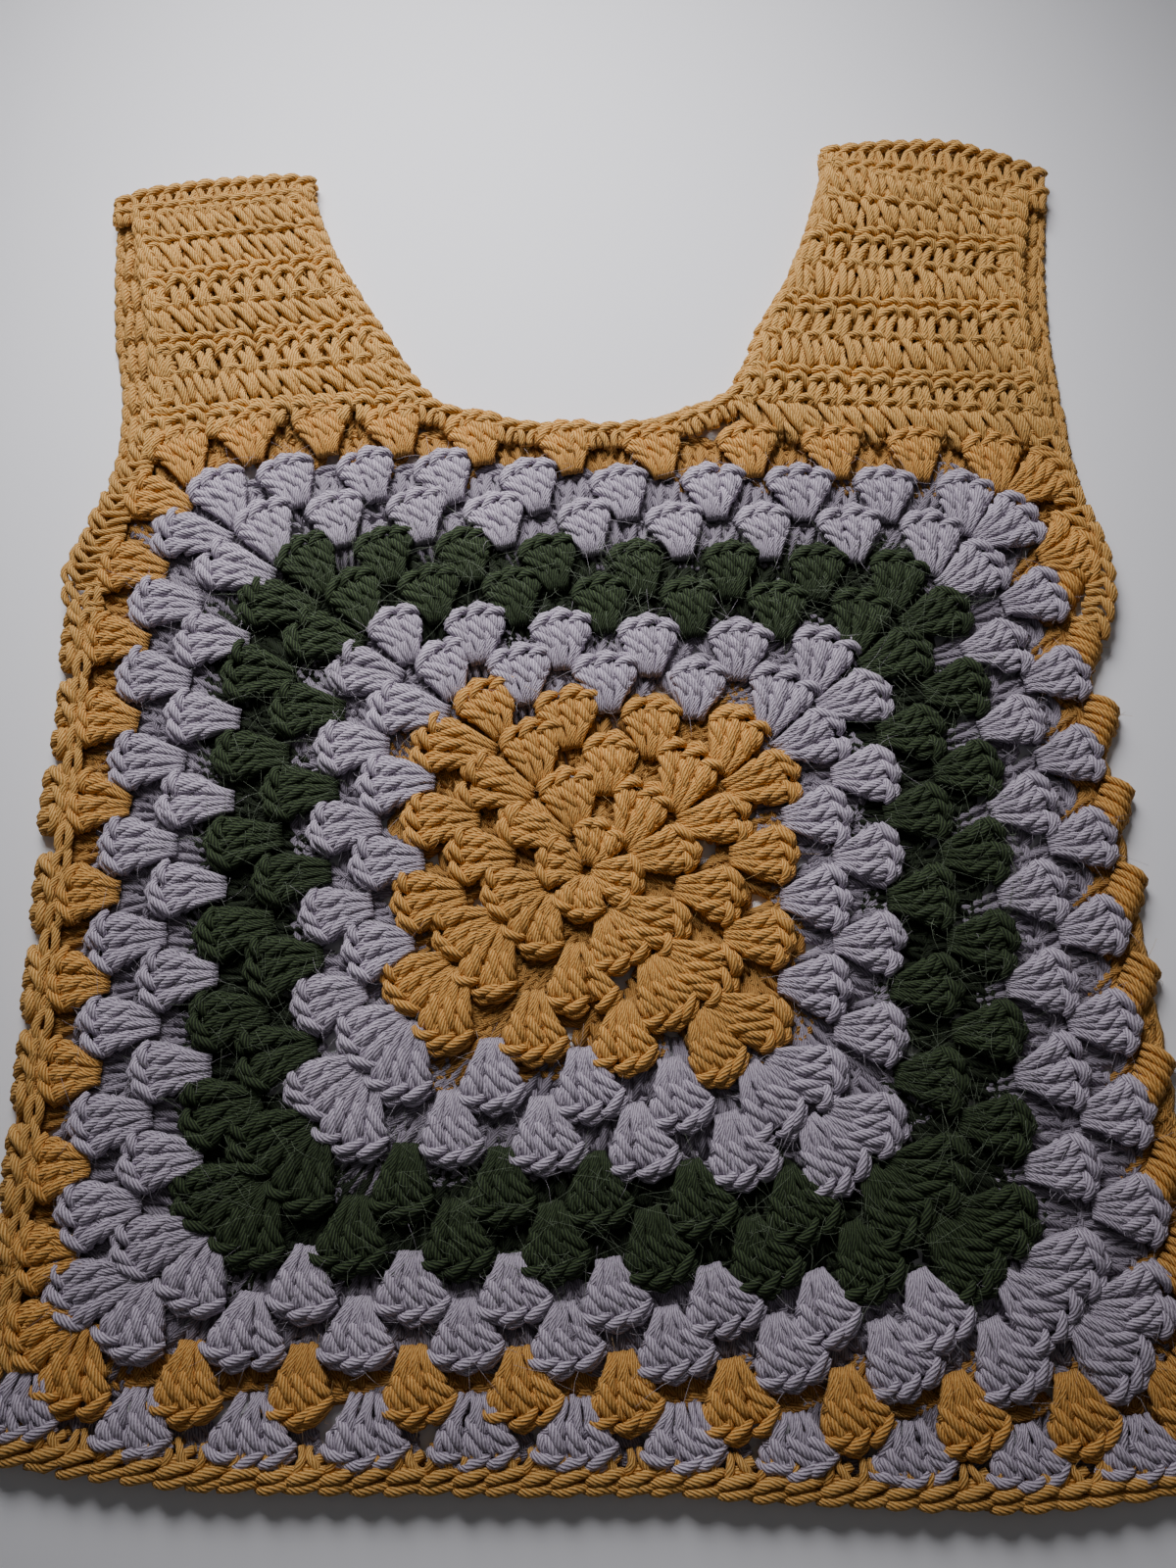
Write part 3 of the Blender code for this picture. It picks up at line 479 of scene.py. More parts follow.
def work(yarn, stitches, strands, layer, over_head=None, under_foot=None, jitter=JITTER):
    """Lays each strand of a stitch at every place.

    over_head and under_foot are the shares of the height where the cloth turns down over an edge.
    """
    foot, head = stitches.foot, stitches.head
    reach = np.linalg.norm(head - foot, axis=1)[:, None]
    ahead = unit(head - foot)[:, None]
    right = np.stack([ahead[..., 1], -ahead[..., 0]], axis=-1)
    place = stitches.place[:, None]
    count = len(foot)
    lean = yarn.chance.normal(0, LEAN, (count, 1))
    plump = yarn.chance.normal(0, PLUMPNESS, (count, 1))
    for strand in strands:
        across, up, height, radii = np.array(strand.points).T
        wobble = yarn.chance.normal(0, jitter, (3, count, len(up)))
        width = between(stitches.foot_width[:, None], stitches.head_width[:, None],
                        np.clip(up, 0, 1) ** FAN_CURVE)
        aside = (place + across) * width + lean * up * reach + wobble[0]
        sag = stitches.sag[:, None] * ((place + across) / HALF_CLUSTER) ** 2 * np.clip(up, 0, 2) ** 2
        along = up * reach - sag + wobble[1]
        height = height + plump + wobble[2] * RISE_JITTER
        radii = radii if layer.is_front else radii * BACK_SWELL
        drop = np.zeros_like(along)
        if over_head is not None:
            along, drop = turned_over(along, height, over_head * reach)
        if under_foot is not None:
            mirrored, drop = turned_over(-along, height, -under_foot * reach)
            along = -mirrored
        flat = foot[:, None] + ahead * along[..., None] + right * aside[..., None]
        if layer.is_front:
            z = np.maximum(FRONT_UNDER + height - drop, radii)
        else:
            z = np.maximum(BACK_UPPER - (height - WRONG_SIDE) * BACK_RELIEF, radii * BACK_SQUEEZE)
        controls = np.concatenate([flat, z[..., None]], axis=-1)
        rings = strand.rings if layer.is_front else strand.plain_rings
        yarn.lay(controls, radii, rings, FRONT_SIDES if layer.is_front else BACK_SIDES)


FOLD = 2.2  # radius of the fold at the vest's sides
FOLD_YARN = 2.0  # height over the cloth's wrong side at which a length stays as long round the fold
FOLD_ANGLE = 2.5  # radians, as far as the cloth turns under


def turned_over(along, height, start):
    """Bends what lies past start down round the fold: the new distance, and the drop."""
    past = np.maximum(along - start, 0)
    angle = np.minimum(past / (FOLD + FOLD_YARN), FOLD_ANGLE)
    bent = start + (FOLD + height) * np.sin(angle)
    fallen = (FOLD + height) * (1 - np.cos(angle))
    inside = past <= 0
    return np.where(inside, along, bent), np.where(inside, 0.0, fallen)


CLUSTER_HEAD = 0.16  # a cluster's top chain lies this share of a round past its own level
CLUSTER_FOOT = -0.04
# From foot to top chain, by side: a stitch doesn't stretch to fill its round
TALLEST = (17.0, 17.0, 17.5, 19.5)
CORNER_LONGER = 2.5  # by how much a corner's clusters may be longer
CENTRE_CORNER_LONGER = 4.5
FOOT_WIDTH = 2.35  # of one stitch
BACK_FOOT = 1.8  # the back's feet are this much wider
SAG = 3.0  # how far a cluster's outer stitches hang back behind its middle one
CORNER_SPREAD = 3.2
CORNER_HOLE = 0.8  # from a corner's middle to the feet of its clusters
FRONT_FILL = 0.67  # share of its pitch that a cluster's head takes up
BACK_FILL = 1.05
CENTRE_HOLE = 3.4


def clusters(square, side, level, head=CLUSTER_HEAD, fill=None, slip=0.0, only=slice(None),
             sag=SAG, foot_width=None):
    """The clusters of one side of one round, three double crochets each.

    slip is how far along the side, in clusters, a head lies past its foot's own place.
    """
    k = np.arange(level)
    foot_level = level - 1 + CLUSTER_FOOT
    foot_along = k / (level - 1) if level > 1 else np.array([0.5])
    foot = square.place(side, np.full(level, max(foot_level, 0.0)), foot_along)
    top = square.place(side, np.full(level, level + head), (k + 0.5 + slip) / level)
    pitch = square.side_length(side, level) / level
    ahead = unit(top - foot)
    right = np.stack([ahead[:, 1], -ahead[:, 0]], axis=1)
    spread = np.zeros(level)
    hole = np.zeros(level)
    if level > 1:
        spread[0] = CORNER_SPREAD
        spread[-1] -= CORNER_SPREAD
        hole[[0, -1]] = 0.0 if square.from_behind else CORNER_HOLE
    else:
        hole[:] = CENTRE_HOLE
    foot = foot + right * spread[:, None] + ahead * hole[:, None]
    if not square.from_behind:
        reach = np.linalg.norm(top - foot, axis=1)
        tallest = np.full(level, TALLEST[side])
        tallest[[0, -1]] += CENTRE_CORNER_LONGER if level <= CENTRE_ROUNDS else CORNER_LONGER
        foot = top - unit(top - foot) * np.minimum(reach, tallest)[:, None]
    fill = fill or (BACK_FILL if square.from_behind else FRONT_FILL)
    foot_width = foot_width or FOOT_WIDTH * (BACK_FOOT if square.from_behind else 1)
    return fans(foot[only], top[only], pitch * fill / 3, sag=sag, foot_width=foot_width)


def alike(foot, head, place, foot_width, head_width, sag=0.0):
    """Stitches of one width and one sag."""
    sizes = [np.full(len(foot), float(size)) for size in (foot_width, head_width, sag)]
    return Stitches(foot, head, place, *sizes)


def fans(foot, top, head_width, sag=SAG, foot_width=FOOT_WIDTH):
    """Three stitches that stand in one place and spread."""
    place = np.tile([-1.0, 0.0, 1.0], len(foot))
    foot, top = np.repeat(foot, 3, axis=0), np.repeat(top, 3, axis=0)
    return alike(foot, top, place, foot_width, head_width, sag)


def row(foot_line, head_line, count):
    """Stitches side by side between two lines of (x, y) points."""
    shares = (np.arange(count) + 0.5) / count
    foot, foot_width = spaced(foot_line, shares, count)
    head, head_width = spaced(head_line, shares, count)
    return alike(foot, head, np.zeros(count), foot_width, head_width)


def spaced(line, shares, count):
    """Points at shares of a line's length, and the width that each of count stitches has there."""
    line = np.asarray(line, float)
    steps = np.concatenate([[0], np.cumsum(np.linalg.norm(np.diff(line, axis=0), axis=1))])
    at = shares * steps[-1]
    places = np.stack([np.interp(at, steps, line[:, 0]), np.interp(at, steps, line[:, 1])], axis=1)
    return places, steps[-1] / count


def line_length(line):
    return float(np.sum(np.linalg.norm(np.diff(np.asarray(line, float), axis=0), axis=1)))


def add(tree, kind, settings=None, **links):
    """Adds a node with its settings and links: to a socket, or to a node's first output."""
    made = tree.nodes.new("ShaderNode" + kind)
    for name, value in (settings or {}).items():
        if hasattr(made, name):
            setattr(made, name, value)
        else:
            made.inputs[int(name[1:]) if name[0] == "_" else name].default_value = value
    for name, source in links.items():
        if isinstance(source, bpy.types.Node):
            source = source.outputs[0]
        socket = made.inputs[int(name[1:]) if name[0] == "_" else name.replace("_", " ")]
        tree.links.new(source, socket)
    return made


def linear(hex_colour):
    """An sRGB hex colour as linear red, green, blue and alpha."""
    shares = [int(hex_colour[i:i + 2], 16) / 255 for i in (1, 3, 5)]
    return [s / 12.92 if s <= 0.04045 else ((s + 0.055) / 1.055) ** 2.4 for s in shares] + [1.0]


PLIES = 8
PLY_TURN = 14  # mm of yarn in which the plies turn once
PLY_DEPTH = 0.32  # mm
FUZZ_GLOW = 0.25  # how strongly the wool's nap glows at grazing angles
PAINTED_SHADE_REACH = 3.0  # mm from the vest's inside, over which painted shade fades out of the wool's colour


def bare_material(name):
    material = bpy.data.materials.new(name)
    material.use_nodes = True
    material.node_tree.nodes.clear()
    return material, material.node_tree


def maths(tree, operation, value=None, **links):
    settings = {"operation": operation} if value is None else {"operation": operation, "_1": value}
    return add(tree, "Math", settings, **links)


def uneven(tree, patches, low, high, place):
    """A tone that wanders between low and high, so many times a metre."""
    noise = add(tree, "TexNoise", {"Scale": patches, "Detail": 2.0}, Vector=place)
    shares = {"From Min": 0.3, "From Max": 0.7, "To Min": low, "To Max": high}
    return add(tree, "MapRange", shares, Value=noise)


def wool_yarn(name, light, middle, deep, innermost):
    """Spun yarn: soft and matt, with slanting grooves between its plies.

    light is the colour of a ply's crest, middle its body, and deep the groove between two plies, where
    shade is painted in.
    innermost is the share of its colour that the wool keeps at the vest's inside, where shade is
    painted in.
    """
    material, tree = bare_material(name)
    along = add(tree, "UVMap", {"uv_map": "PlyTwist"})
    parts = add(tree, "SeparateXYZ", Vector=along)
    # A groove between each two plies, which winds round the yarn
    wound = maths(tree, "MULTIPLY", PLIES / PLY_TURN, _0=parts.outputs["Y"])
    turned = maths(tree, "MULTIPLY_ADD", PLIES, _0=parts.outputs["X"], _2=wound)
    wave = maths(tree, "SINE", _0=maths(tree, "MULTIPLY", 2 * math.pi, _0=turned))
    crest = add(tree, "MapRange", {"From Min": -1.0, "From Max": 0.6}, Value=wave)
    # Bundles of fibres lie along the plies, drawn coarse enough to show, about 0.5 mm apart
    fibre_place = add(tree, "CombineXYZ", X=turned, Y=wound)
    fibres = add(tree, "TexNoise", {"Scale": 2.4, "Detail": 3.0, "Roughness": 0.6}, Vector=fibre_place)
    fibre = add(tree, "MapRange", {"From Min": 0.3, "From Max": 0.7}, Value=fibres)
    both = add(tree, "Mix", {"data_type": "FLOAT", "_0": 0.35}, _2=crest, _3=fibre)
    # The ramp paints shade into the grooves, from middle down to deep, and keeps the crests light; the
    # fibres' noise adds their own uneven tone
    ramp = add(tree, "ValToRGB", Fac=both)
    ramp.color_ramp.elements[0].color = linear(deep)
    ramp.color_ramp.elements[1].color = linear(light)
    ramp.color_ramp.elements.new(0.45).color = linear(middle)
    # The dye takes a little unevenly, over some 30 mm of cloth
    place = add(tree, "TexCoord").outputs["Object"]
    shade = uneven(tree, 34.0, 0.88, 1.1, place)
    # Painted shade: little light gets between the loops, so the colour is darkened towards the vest's
    # inside
    height = add(tree, "SeparateXYZ", Vector=place).outputs["Z"]
    distance = maths(tree, "ABSOLUTE", _0=maths(tree, "SUBTRACT", INSIDE * MM, _0=height))
    painted_inside_shade = add(tree, "MapRange",
                {"interpolation_type": "SMOOTHSTEP", "From Min": 0.0,
                 "From Max": PAINTED_SHADE_REACH * MM, "To Min": innermost, "To Max": 1.0}, Value=distance)
    tone = maths(tree, "MULTIPLY", _0=shade, _1=painted_inside_shade)
    colour = add(tree, "VectorMath", {"operation": "SCALE"}, _0=ramp, Scale=tone)
    raised = add(tree, "Bump", {"Strength": 1.0, "Distance": PLY_DEPTH * MM}, Height=both)
    surface = add(tree, "BsdfPrincipled",
                  {"Roughness": 0.85, "IOR": 1.54, "Specular IOR Level": 0.25,
                   "Sheen Weight": FUZZ_GLOW, "Sheen Roughness": 0.45, "Sheen Tint": linear(light)},
                  Base_Color=colour, Normal=raised)
    add(tree, "OutputMaterial", Surface=surface)
    return material


# Warm mustard, with painted shade browning it between the plies, for the centre and the last round
mustard_wool = wool_yarn("mustard_wool_yarn", "#F0C074", "#D49342", "#784A1C", 0.6)
# Pale grey with a breath of lilac
lilac_grey_wool = wool_yarn("lilac_grey_wool_yarn", "#DCD3E0", "#B3A7B6", "#625563", 0.55)
# Forest green, with painted shade nearly black between the plies
forest_green_wool = wool_yarn("forest_green_mohair_yarn", "#4C5C3A", "#252E1E", "#0D110B", 0.35)
# A lit copy of the mustard, a little yellower and with less painted shade at the vest's inside, for
# where light gets in all round: the vest's edges and seams, and the back's straps
lit_open_mustard_wool = wool_yarn("mustard_wool_yarn_of_edges", "#EDC27A", "#D09648", "#785020", 0.9)
# A lit copy of the mustard for the front straps' tight rows: painted light makes it a little yellower
# than in the open rounds
lit_strap_mustard_wool = wool_yarn("mustard_wool_yarn_of_straps", "#EEC47C", "#D0984A", "#785020", 0.6)


def loose_fibres(name, colour):
    """Single fibres that have worked loose, paler than the yarn and uneven in tone."""
    material, tree = bare_material(name)
    shade = uneven(tree, 300.0, 0.6, 1.1, add(tree, "TexCoord").outputs["Object"])
    base = add(tree, "RGB")
    base.outputs[0].default_value = linear(colour)
    varied = add(tree, "VectorMath", {"operation": "SCALE"}, _0=base, Scale=shade)
    surface = add(tree, "BsdfPrincipled", {"Roughness": 0.6, "IOR": 1.54, "Specular IOR Level": 0.5},
                  Base_Color=varied)
    add(tree, "OutputMaterial", Surface=surface)
    return material


# A faint golden fuzz
mustard_halo = loose_fibres("loose_mustard_fibres", "#DDB878")
# A pale grey fuzz that softens the lilac clusters' outlines
lilac_halo = loose_fibres("loose_lilac_fibres", "#C9C0C8")
# Long grey-green hairs that stand out against the dark wool
mohair_halo = loose_fibres("loose_mohair_fibres", "#7E8A72")

MUSTARD_SLOT = "mustard_wool"
LILAC_SLOT = "lilac_grey_wool"

# Rounds of one colour, from the centre out
Band = namedtuple("Band", "name first last material slot halo fibres fibre_length")
BANDS = [
    Band("centre_rounds", 1, 4, mustard_wool, MUSTARD_SLOT, mustard_halo, 500, 5.0),
    Band("inner_lilac_rounds", 5, 6, lilac_grey_wool, LILAC_SLOT, lilac_halo, 1400, 8.0),
    Band("green_rounds", 7, 8, forest_green_wool, LILAC_SLOT, mohair_halo, 2400, 13.0),
    Band("outer_lilac_rounds", 9, 10, lilac_grey_wool, LILAC_SLOT, lilac_halo, 2400, 8.0),
    Band("last_round", 11, 11, mustard_wool, MUSTARD_SLOT, mustard_halo, 500, 5.0),
]


POSTS_OFFSET = 50  # from the seed of a piece's loops to that of its posts


def fresh_yarn(offset):
    return Yarn(np.random.default_rng(SEED + offset))


def finished(yarn, name, material, slot, *nodes):
    piece = yarn.piece(name, material)
    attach(piece, "root")
    if nodes:
        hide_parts(*nodes)
    return piece


LEFT_HEAD = 0.02  # the heads of the last round, in rounds past its level
HEM_HEAD = 0.42
RIGHT_HEAD = 0.30
FOLDS_SOONER = 0.06  # a cluster's outer stitches turn down this much sooner


def rounds_of(layer, side, level):
    """One side of one round: its stitches, their strands and the share at which they turn over.

    At the front's right the last round turns down over the vest's side, but for its first clusters.
    """
    square = layer.square
    if level < LAST_ROUND or side == TOP or (side in (LEFT, RIGHT) and not layer.is_front):
        return [(clusters(square, side, level), DOUBLE_CROCHET, None)]
    if side == LEFT:
        return [(clusters(square, side, level, LEFT_HEAD), DOUBLE_CROCHET, None)]
    if side == BOTTOM:
        return [(clusters(square, side, level, HEM_HEAD), DOUBLE_CROCHET, None)]
    first, second, others = slice(0, 1), slice(1, 2), slice(2, None)
    return [
        (clusters(square, side, level, RIGHT_HEAD, fill=0.75, only=first), DOUBLE_CROCHET, None),
        (clusters(square, side, level, 0.32, fill=1.0, only=second, sag=6.0), DOUBLE_CROCHET, None),
        (clusters(square, side, level, RIGHT_HEAD, fill=0.7, slip=0.66, only=second, foot_width=4.6),
         ROLLED_CROCHET, 0.28),
        (clusters(square, side, level, RIGHT_HEAD, fill=0.62, slip=0.44, only=others, foot_width=4.8),
         ROLLED_CROCHET, 0.25),
    ]


def granny_square(layer, offset):
    """Each band's posts, as the cloth, and the loops round them."""
    made = []
    for number, band in enumerate(BANDS):
        loops, posts = fresh_yarn(offset + number), fresh_yarn(offset + POSTS_OFFSET + number)
        for level in range(band.first, band.last + 1):
            for side in range(4):
                for stitches, strands, over in rounds_of(layer, side, level):
                    if over:
                        over = over - FOLDS_SOONER * np.abs(stitches.place)[:, None]
                    work(loops, stitches, strands, layer, over_head=over)
                    work(posts, stitches, POST, layer, over_head=over)
        node = f"{layer.name}_square"
        name = f"{layer.name}_{band.name}"
        group = [finished(posts, f"{name}_posts", band.material, band.slot, node),
                 finished(loops, name, band.material, band.slot, node)]
        if layer.is_front:
            halo = loops.shed(band.fibres, band.fibre_length)
            group.append(finished(halo, f"{name}_fibres", band.halo, band.slot))
        made.append(group)
    return made


def right_way(hand, inner, outer):
    """Both lines in the order in which their stitches stand the right way up."""
    return (inner, outer) if hand < 0 else (inner[::-1], outer[::-1])


def stitch_count(line, pitch):
    return int(round(line_length(line) / pitch))


def strap_foot(layer, shoulder):
    """A strap's lowest corners, on the square's top side: at the armhole, then at the neck."""
    armhole = armhole_of(layer, shoulder)
    inset = shoulder.hand * (EDGING + SEAM_GAP)
    y = armhole[-1][1]
    for _ in range(8):
        armhole_x = x_at(armhole, y) - inset
        y = layer.square.top_at(armhole_x) + SEAM_GAP
    neck_x = shoulder.neck[-1][0] + inset + shoulder.hand
    return (armhole_x, y), (neck_x, layer.square.top_at(neck_x) + SEAM_GAP)


STRAP_INSET = 2.0  # from the edge of the edging to the strap's outermost stitches
STRAP_OVERLAP = 1.0
STRAP_PITCH = 7.6
STRAP_SHARES = np.linspace(0, 1, 9)


def strap(layer, shoulder, offset):
    """Rows from the square's top side to the shoulder, their right and wrong sides by turns."""
    yarn, posts = fresh_yarn(offset), fresh_yarn(offset + POSTS_OFFSET)
    armhole = armhole_of(layer, shoulder)
    inset = shoulder.hand * STRAP_INSET
    start, end = strap_foot(layer, shoulder)
    xs = between(start[0] + inset, end[0] - inset, STRAP_SHARES)
    below = np.stack([xs, layer.square.top_at(xs) - STRAP_OVERLAP], axis=1)
    for step in shoulder.rows:
        ends = (np.array([x_at(armhole, step.at_armhole) - inset, step.at_armhole]),
                np.array([x_at(shoulder.neck, step.at_neck) + inset, step.at_neck]))
        above = between(ends[0], ends[1], STRAP_SHARES[:, None])
        lines = right_way(shoulder.hand, below, above)
        count = stitch_count(above, STRAP_PITCH)
        strands = WRONG_SIDE_CROCHET if step.is_ridge else SLANTED_CROCHET
        work(yarn, row(*lines, count), strands, layer, jitter=LOOSE_JITTER)
        work(posts, row(*lines, count), BROAD_POST, layer)
        below = above
    name = f"{layer.name}_{shoulder.name}_strap"
    # Both are lit copies of the mustard wool, with painted light
    wool = lit_strap_mustard_wool if layer.is_front else lit_open_mustard_wool
    cloth = finished(posts, f"{name}_posts", wool, MUSTARD_SLOT, name)
    return cloth, finished(yarn, f"{name}_rows", wool, MUSTARD_SLOT, name)


EDGE_INSET = 0.8  # from the edge of the cloth to the middle of its outermost yarn
EDGE_REACH = 6.0  # of the stitches' legs
EDGING_PITCH = 7.2
LONGEST_EDGING = 11.0  # below the strap, where the edging widens to meet the square
SHORTEST_HEM_CLUSTER = 13.0
HEM_PITCH = 9.4


def edging(node, layer, inner, outer, offset, pitch=EDGING_PITCH, strands=SINGLE_CROCHET, jitter=0.2):
    """A row of stitches from inner to outer, both lines of points."""
    yarn = fresh_yarn(offset)
    work(yarn, row(inner, outer, stitch_count(outer, pitch)), strands, layer, jitter=jitter)
    return finished(yarn, f"{node}_chain", lit_open_mustard_wool, MUSTARD_SLOT, node)


def finer(points):
    """The same line in sixty points."""
    points = np.array(points, float)
    here, given = np.linspace(0, 1, 60), np.linspace(0, 1, len(points))
    return np.stack([np.interp(here, given, points[:, n]) for n in (0, 1)], axis=1)


def armhole_edging(layer, shoulder, offset):
    """Down the strap, and below it out to the square's side."""
    hand = shoulder.hand
    armhole = armhole_of(layer, shoulder)
    ys = np.linspace(armhole[-1][1], armhole[0][1] - 1, 32)
    outer_x = x_at(armhole, ys) - hand * EDGE_INSET
    inner_x = outer_x - hand * EDGE_REACH
    below = ys < strap_foot(layer, shoulder)[0][1]
    side_x = layer.square.side_at(hand, ys) + hand * 2.0
    side_x = hand * np.maximum(hand * side_x, hand * outer_x - LONGEST_EDGING)
    inner_x = np.where(below, hand * np.minimum(hand * inner_x, hand * side_x), inner_x)
    inner, outer = np.stack([inner_x, ys], axis=1), np.stack([outer_x, ys], axis=1)
    node = f"{layer.name}_{shoulder.name}_armhole_edging"
    return edging(node, layer, *right_way(hand, inner, outer), offset)


def neck_edging(layer, offset):
    """Down the left strap, across the neckline and up the right strap."""
    fine = finer(NECK_LEFT + layer.neckline + NECK_RIGHT[::-1])
    run = unit(np.gradient(fine, axis=0))
    outward = np.stack([-run[:, 1], run[:, 0]], axis=1)
    return edging(f"{layer.name}_neck_edging", layer, fine - outward * (EDGE_INSET + EDGE_REACH),
                  fine - outward * EDGE_INSET, offset)


def hem_band(layer, offset):
    """The grey round below the square. Its clusters stand in the gaps of the last round."""
    yarn = fresh_yarn(offset)
    count = LAST_ROUND + 1
    foot = layer.square.place(BOTTOM, np.full(count, LAST_ROUND + 0.05), np.linspace(0.0, 1.0, count))
    foot[:, 0] = np.clip(foot[:, 0], HEM_EDGE[0][0] + 15, HEM_EDGE[-1][0] - 13)
    head = np.stack([foot[:, 0] * 1.01, y_at(HEM_EDGE, foot[:, 0]) + HEM_CHAIN - 1.0], axis=1)
    head[:, 1] = np.minimum(head[:, 1], foot[:, 1] - SHORTEST_HEM_CLUSTER)
    work(yarn, fans(foot, head, 7.6, foot_width=3.4), DOUBLE_CROCHET, layer, jitter=LOOSE_JITTER)
    node = f"{layer.name}_hem_band"
    return finished(yarn, f"{layer.name}_hem_clusters", lilac_grey_wool, LILAC_SLOT, node)


def hem_edge(layer, offset):
    fine = finer(HEM_EDGE[::-1])
    return edging(f"{layer.name}_hem_edge", layer, fine + (0, HEM_CHAIN), fine - (0, 0.6), offset,
                  pitch=HEM_PITCH, strands=HEM_CROCHET, jitter=LOOSE_JITTER)


# The shoulders' upper edges
LEFT_TOP = [(-184, 271), (-172, 276), (-150, 279), (-119, 281), (-109, 279)]
RIGHT_TOP = [(90, 288), (113, 290), (142, 289), (162, 281), (176, 272)]
SHOULDER_PITCH = 6.6
SHOULDER_FOLD = 0.42  # where the seam's second row starts, as a share of the seam


def shoulder_seam(shoulder, offset):
    """Two rows on each side of the fold where front and back straps are joined."""
    yarn = fresh_yarn(offset)
    last = shoulder.rows[-1]
    start = np.array([x_at(armhole_of(BACK, shoulder), last.at_armhole), last.at_armhole - 1.0])
    end = np.array([x_at(shoulder.neck, last.at_neck), last.at_neck - 1.0])
    inner = between(start, end, STRAP_SHARES[:, None])
    top = LEFT_TOP if shoulder.hand < 0 else RIGHT_TOP
    outer = np.stack([inner[:, 0], y_at(top, inner[:, 0]) - 1.6], axis=1)
    low, high = right_way(shoulder.hand, inner, outer)
    middle = between(low, high, SHOULDER_FOLD)
    count = stitch_count(inner, SHOULDER_PITCH)
    for layer in (FRONT, BACK):
        work(yarn, row(low, middle, count), SINGLE_CROCHET, layer)
        work(yarn, row(middle, high, count), SINGLE_CROCHET, layer)
    name = f"{shoulder.name}_shoulder_seam"
    return finished(yarn, f"{name}_stitches", lit_open_mustard_wool, MUSTARD_SLOT, name)


LINK_PITCH = 8.5
LINK_WIDTH = CHAIN + 1.2


def seam_chain(name, line, layer, offset):
    """A chain of links along a line of points."""
    yarn = fresh_yarn(offset)
    count = stitch_count(line, LINK_PITCH)
    foot, _ = spaced(line, np.arange(count) / count, count)
    head, _ = spaced(line, (np.arange(count) + 1) / count, count)
    work(yarn, alike(foot, head, np.zeros(count), LINK_WIDTH, LINK_WIDTH), CHAIN_LINK, layer)
    return finished(yarn, f"{name}_chain", lit_open_mustard_wool, MUSTARD_SLOT, name)


ROLL_CLUSTER = 19.0  # from foot to top chain
ROLL_WIDTH = 7.8
ROLL_EDGE = 4.8  # how far inside the roll's edge the fold starts


def left_roll(offset):
    """The back's last round where it rolls over to the front, its clusters' tops at the seam."""
    yarn = fresh_yarn(offset)
    heads = clusters(FRONT_SQUARE, LEFT, LAST_ROUND, LEFT_HEAD).head[::3]
    seam = heads[heads[:, 1] < SEAM_HEAD + 8] - (CHAIN + 0.5, 0)
    outer = np.stack([x_at(LEFT_ROLL, seam[:, 1]) - 1.5, seam[:, 1]], axis=1)
    visible = np.linalg.norm(outer - seam, axis=1)
    foot = seam + unit(outer - seam) * ROLL_CLUSTER
    stitches = fans(foot, seam, ROLL_WIDTH, foot_width=5.0)
    turned = np.repeat(1 - np.maximum(visible - ROLL_EDGE, 0.5) / ROLL_CLUSTER, 3)[:, None]
    work(yarn, stitches, DOUBLE_CROCHET, FRONT, under_foot=turned)
    work(yarn, stitches, BROAD_POST, FRONT, under_foot=turned)
    return finished(yarn, "left_side_roll_clusters", lit_open_mustard_wool, MUSTARD_SLOT, "left_side_roll")


def ring(first, last):
    """The flat size of the rounds from first to last: (width, length) and area, in metres."""
    def outline(level):
        return np.array([worked_corner(n, level) for n in range(4)], float).reshape(4, 2)

    def area(level):
        x, y = outline(level).T
        return abs(np.dot(x, np.roll(y, -1)) - np.dot(y, np.roll(x, -1))) / 2

    size = np.ptp(outline(last), axis=0) * MM
    return tuple(float(n) for n in size), (area(last) - area(first - 1)) * MM * MM


def strap_size(layer, shoulder):
    """A strap's flat size and area, in metres: it narrows from the square's side to the shoulder."""
    start, end = strap_foot(layer, shoulder)
    last = shoulder.rows[-1]
    wide = abs(end[0] - start[0]) + 2 * STRAP_INSET
    top = x_at(shoulder.neck, last.at_neck) - x_at(armhole_of(layer, shoulder), last.at_armhole)
    narrow = abs(top) - 2 * STRAP_INSET
    tall = (last.at_armhole + last.at_neck) / 2 - (start[1] + end[1]) / 2
    return (float(wide * MM), float(tall * MM)), float((wide + narrow) / 2 * tall * MM * MM)


for layer, offset in ((FRONT, 100), (BACK, 200)):
    bands = granny_square(layer, offset)
    straps = [strap(layer, shoulder, offset + 10 + n) for n, shoulder in enumerate(SHOULDERS)]
    edges = [armhole_edging(layer, shoulder, offset + 20 + n) for n, shoulder in enumerate(SHOULDERS)]
    rims = [neck_edging(layer, offset + 30), hem_band(layer, offset + 31), hem_edge(layer, offset + 32)]
    for group, band in zip(bands[:-1], BANDS):
        flat, area = ring(band.first, band.last)
    for (posts, loops), edge, shoulder in zip(straps, edges, SHOULDERS):
        flat, area = strap_size(layer, shoulder)
for number, shoulder in enumerate(SHOULDERS):
    shoulder_seam(shoulder, 300 + number)
seam_ys = np.linspace(SEAM_FOOT, SEAM_HEAD, 30)
left_line = np.stack([FRONT_SQUARE.side_at(-1, seam_ys) - SEAM_GAP - CHAIN / 2, seam_ys], axis=1)
right_line = np.stack([BACK_SQUARE.side_at(1, seam_ys) + SEAM_GAP + CHAIN / 2 - 1.0, seam_ys], axis=1)
seam_chain("left_side_seam", left_line, FRONT, 310)
seam_chain("right_side_seam", right_line, BACK, 311)
left_roll(312)


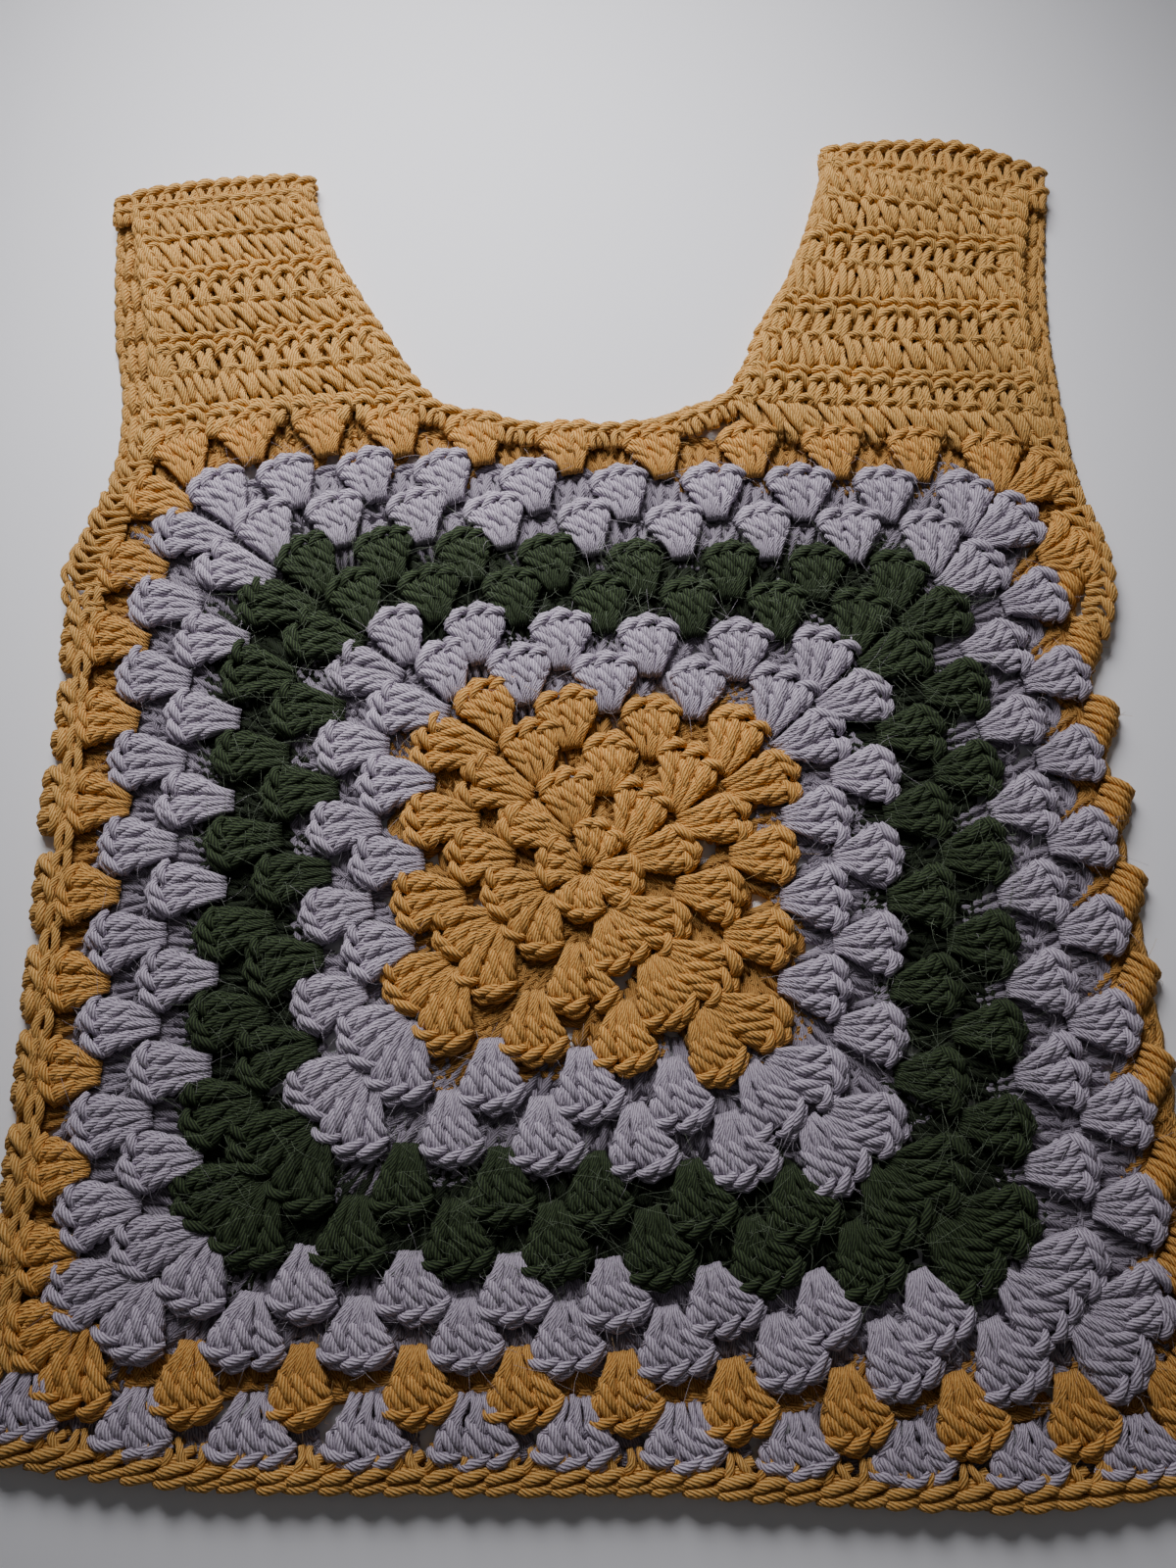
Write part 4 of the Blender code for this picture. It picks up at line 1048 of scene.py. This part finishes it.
def matt_board():
    """Pale board without shine, so that the vest's soft shadow is all it shows."""
    material = bpy.data.materials.new("matt_painted_board")
    material.use_nodes = True
    shader = material.node_tree.nodes["Principled BSDF"]
    shader.inputs["Base Color"].default_value = linear("#F6F6F8")
    shader.inputs["Roughness"].default_value = 0.9
    return material


def floor():
    mesh = bpy.data.meshes.new("floor")
    reach = 3.0
    corners = [(-reach, -reach, 0), (reach, -reach, 0), (reach, reach, 0), (-reach, reach, 0)]
    mesh.from_pydata(corners, [], [(0, 1, 2, 3)])
    mesh.materials.append(matt_board())
    in_scene("floor", mesh)


def soft_light(name, place, aim, size, watts, colour, spread=180):
    """A round lamp; spread is in degrees."""
    light = bpy.data.lights.new(name, "AREA")
    light.shape = "DISK"
    light.size = size
    light.energy = watts
    light.color = linear(colour)[:3]
    light.spread = math.radians(spread)
    lamp = in_scene(name, light)
    lamp.location = place
    lamp.rotation_euler = (Vector(aim) - Vector(place)).to_track_quat("-Z", "Y").to_euler()


def camera():
    """The photo's view: from above the hem, looking a little towards the shoulders."""
    lens = bpy.data.cameras.new("camera")
    lens.lens = 27.225
    lens.sensor_width = 36
    lens.clip_start = 0.01
    viewer = in_scene("camera", lens)
    right = (0.99977612, -0.01314916, -0.01657739)
    up = (0.01728602, 0.95939997, 0.28151891)
    back = (0.01220261, -0.28174244, 0.95941247)
    turn = Matrix((right, up, back)).transposed()
    viewer.matrix_world = Matrix.Translation((0.00443, -0.13086, 0.3804)) @ turn.to_4x4()
    bpy.context.scene.camera = viewer


floor()
soft_light("window_light", place=(-0.12, 0.50, 0.42), aim=(-0.03, 0.13, 0), size=0.42, watts=1.3,
           colour="#FBFAFF", spread=70)
soft_light("room_light", place=(0.1, 0.1, 1.2), aim=(0, 0, 0), size=1.0, watts=0.3, colour="#FFF6EA")
world = bpy.data.worlds.new("pale_room")
world.use_nodes = True
world.node_tree.nodes["Background"].inputs["Color"].default_value = linear("#E8ECF4")
world.node_tree.nodes["Background"].inputs["Strength"].default_value = 0.06
bpy.context.scene.world = world
camera()
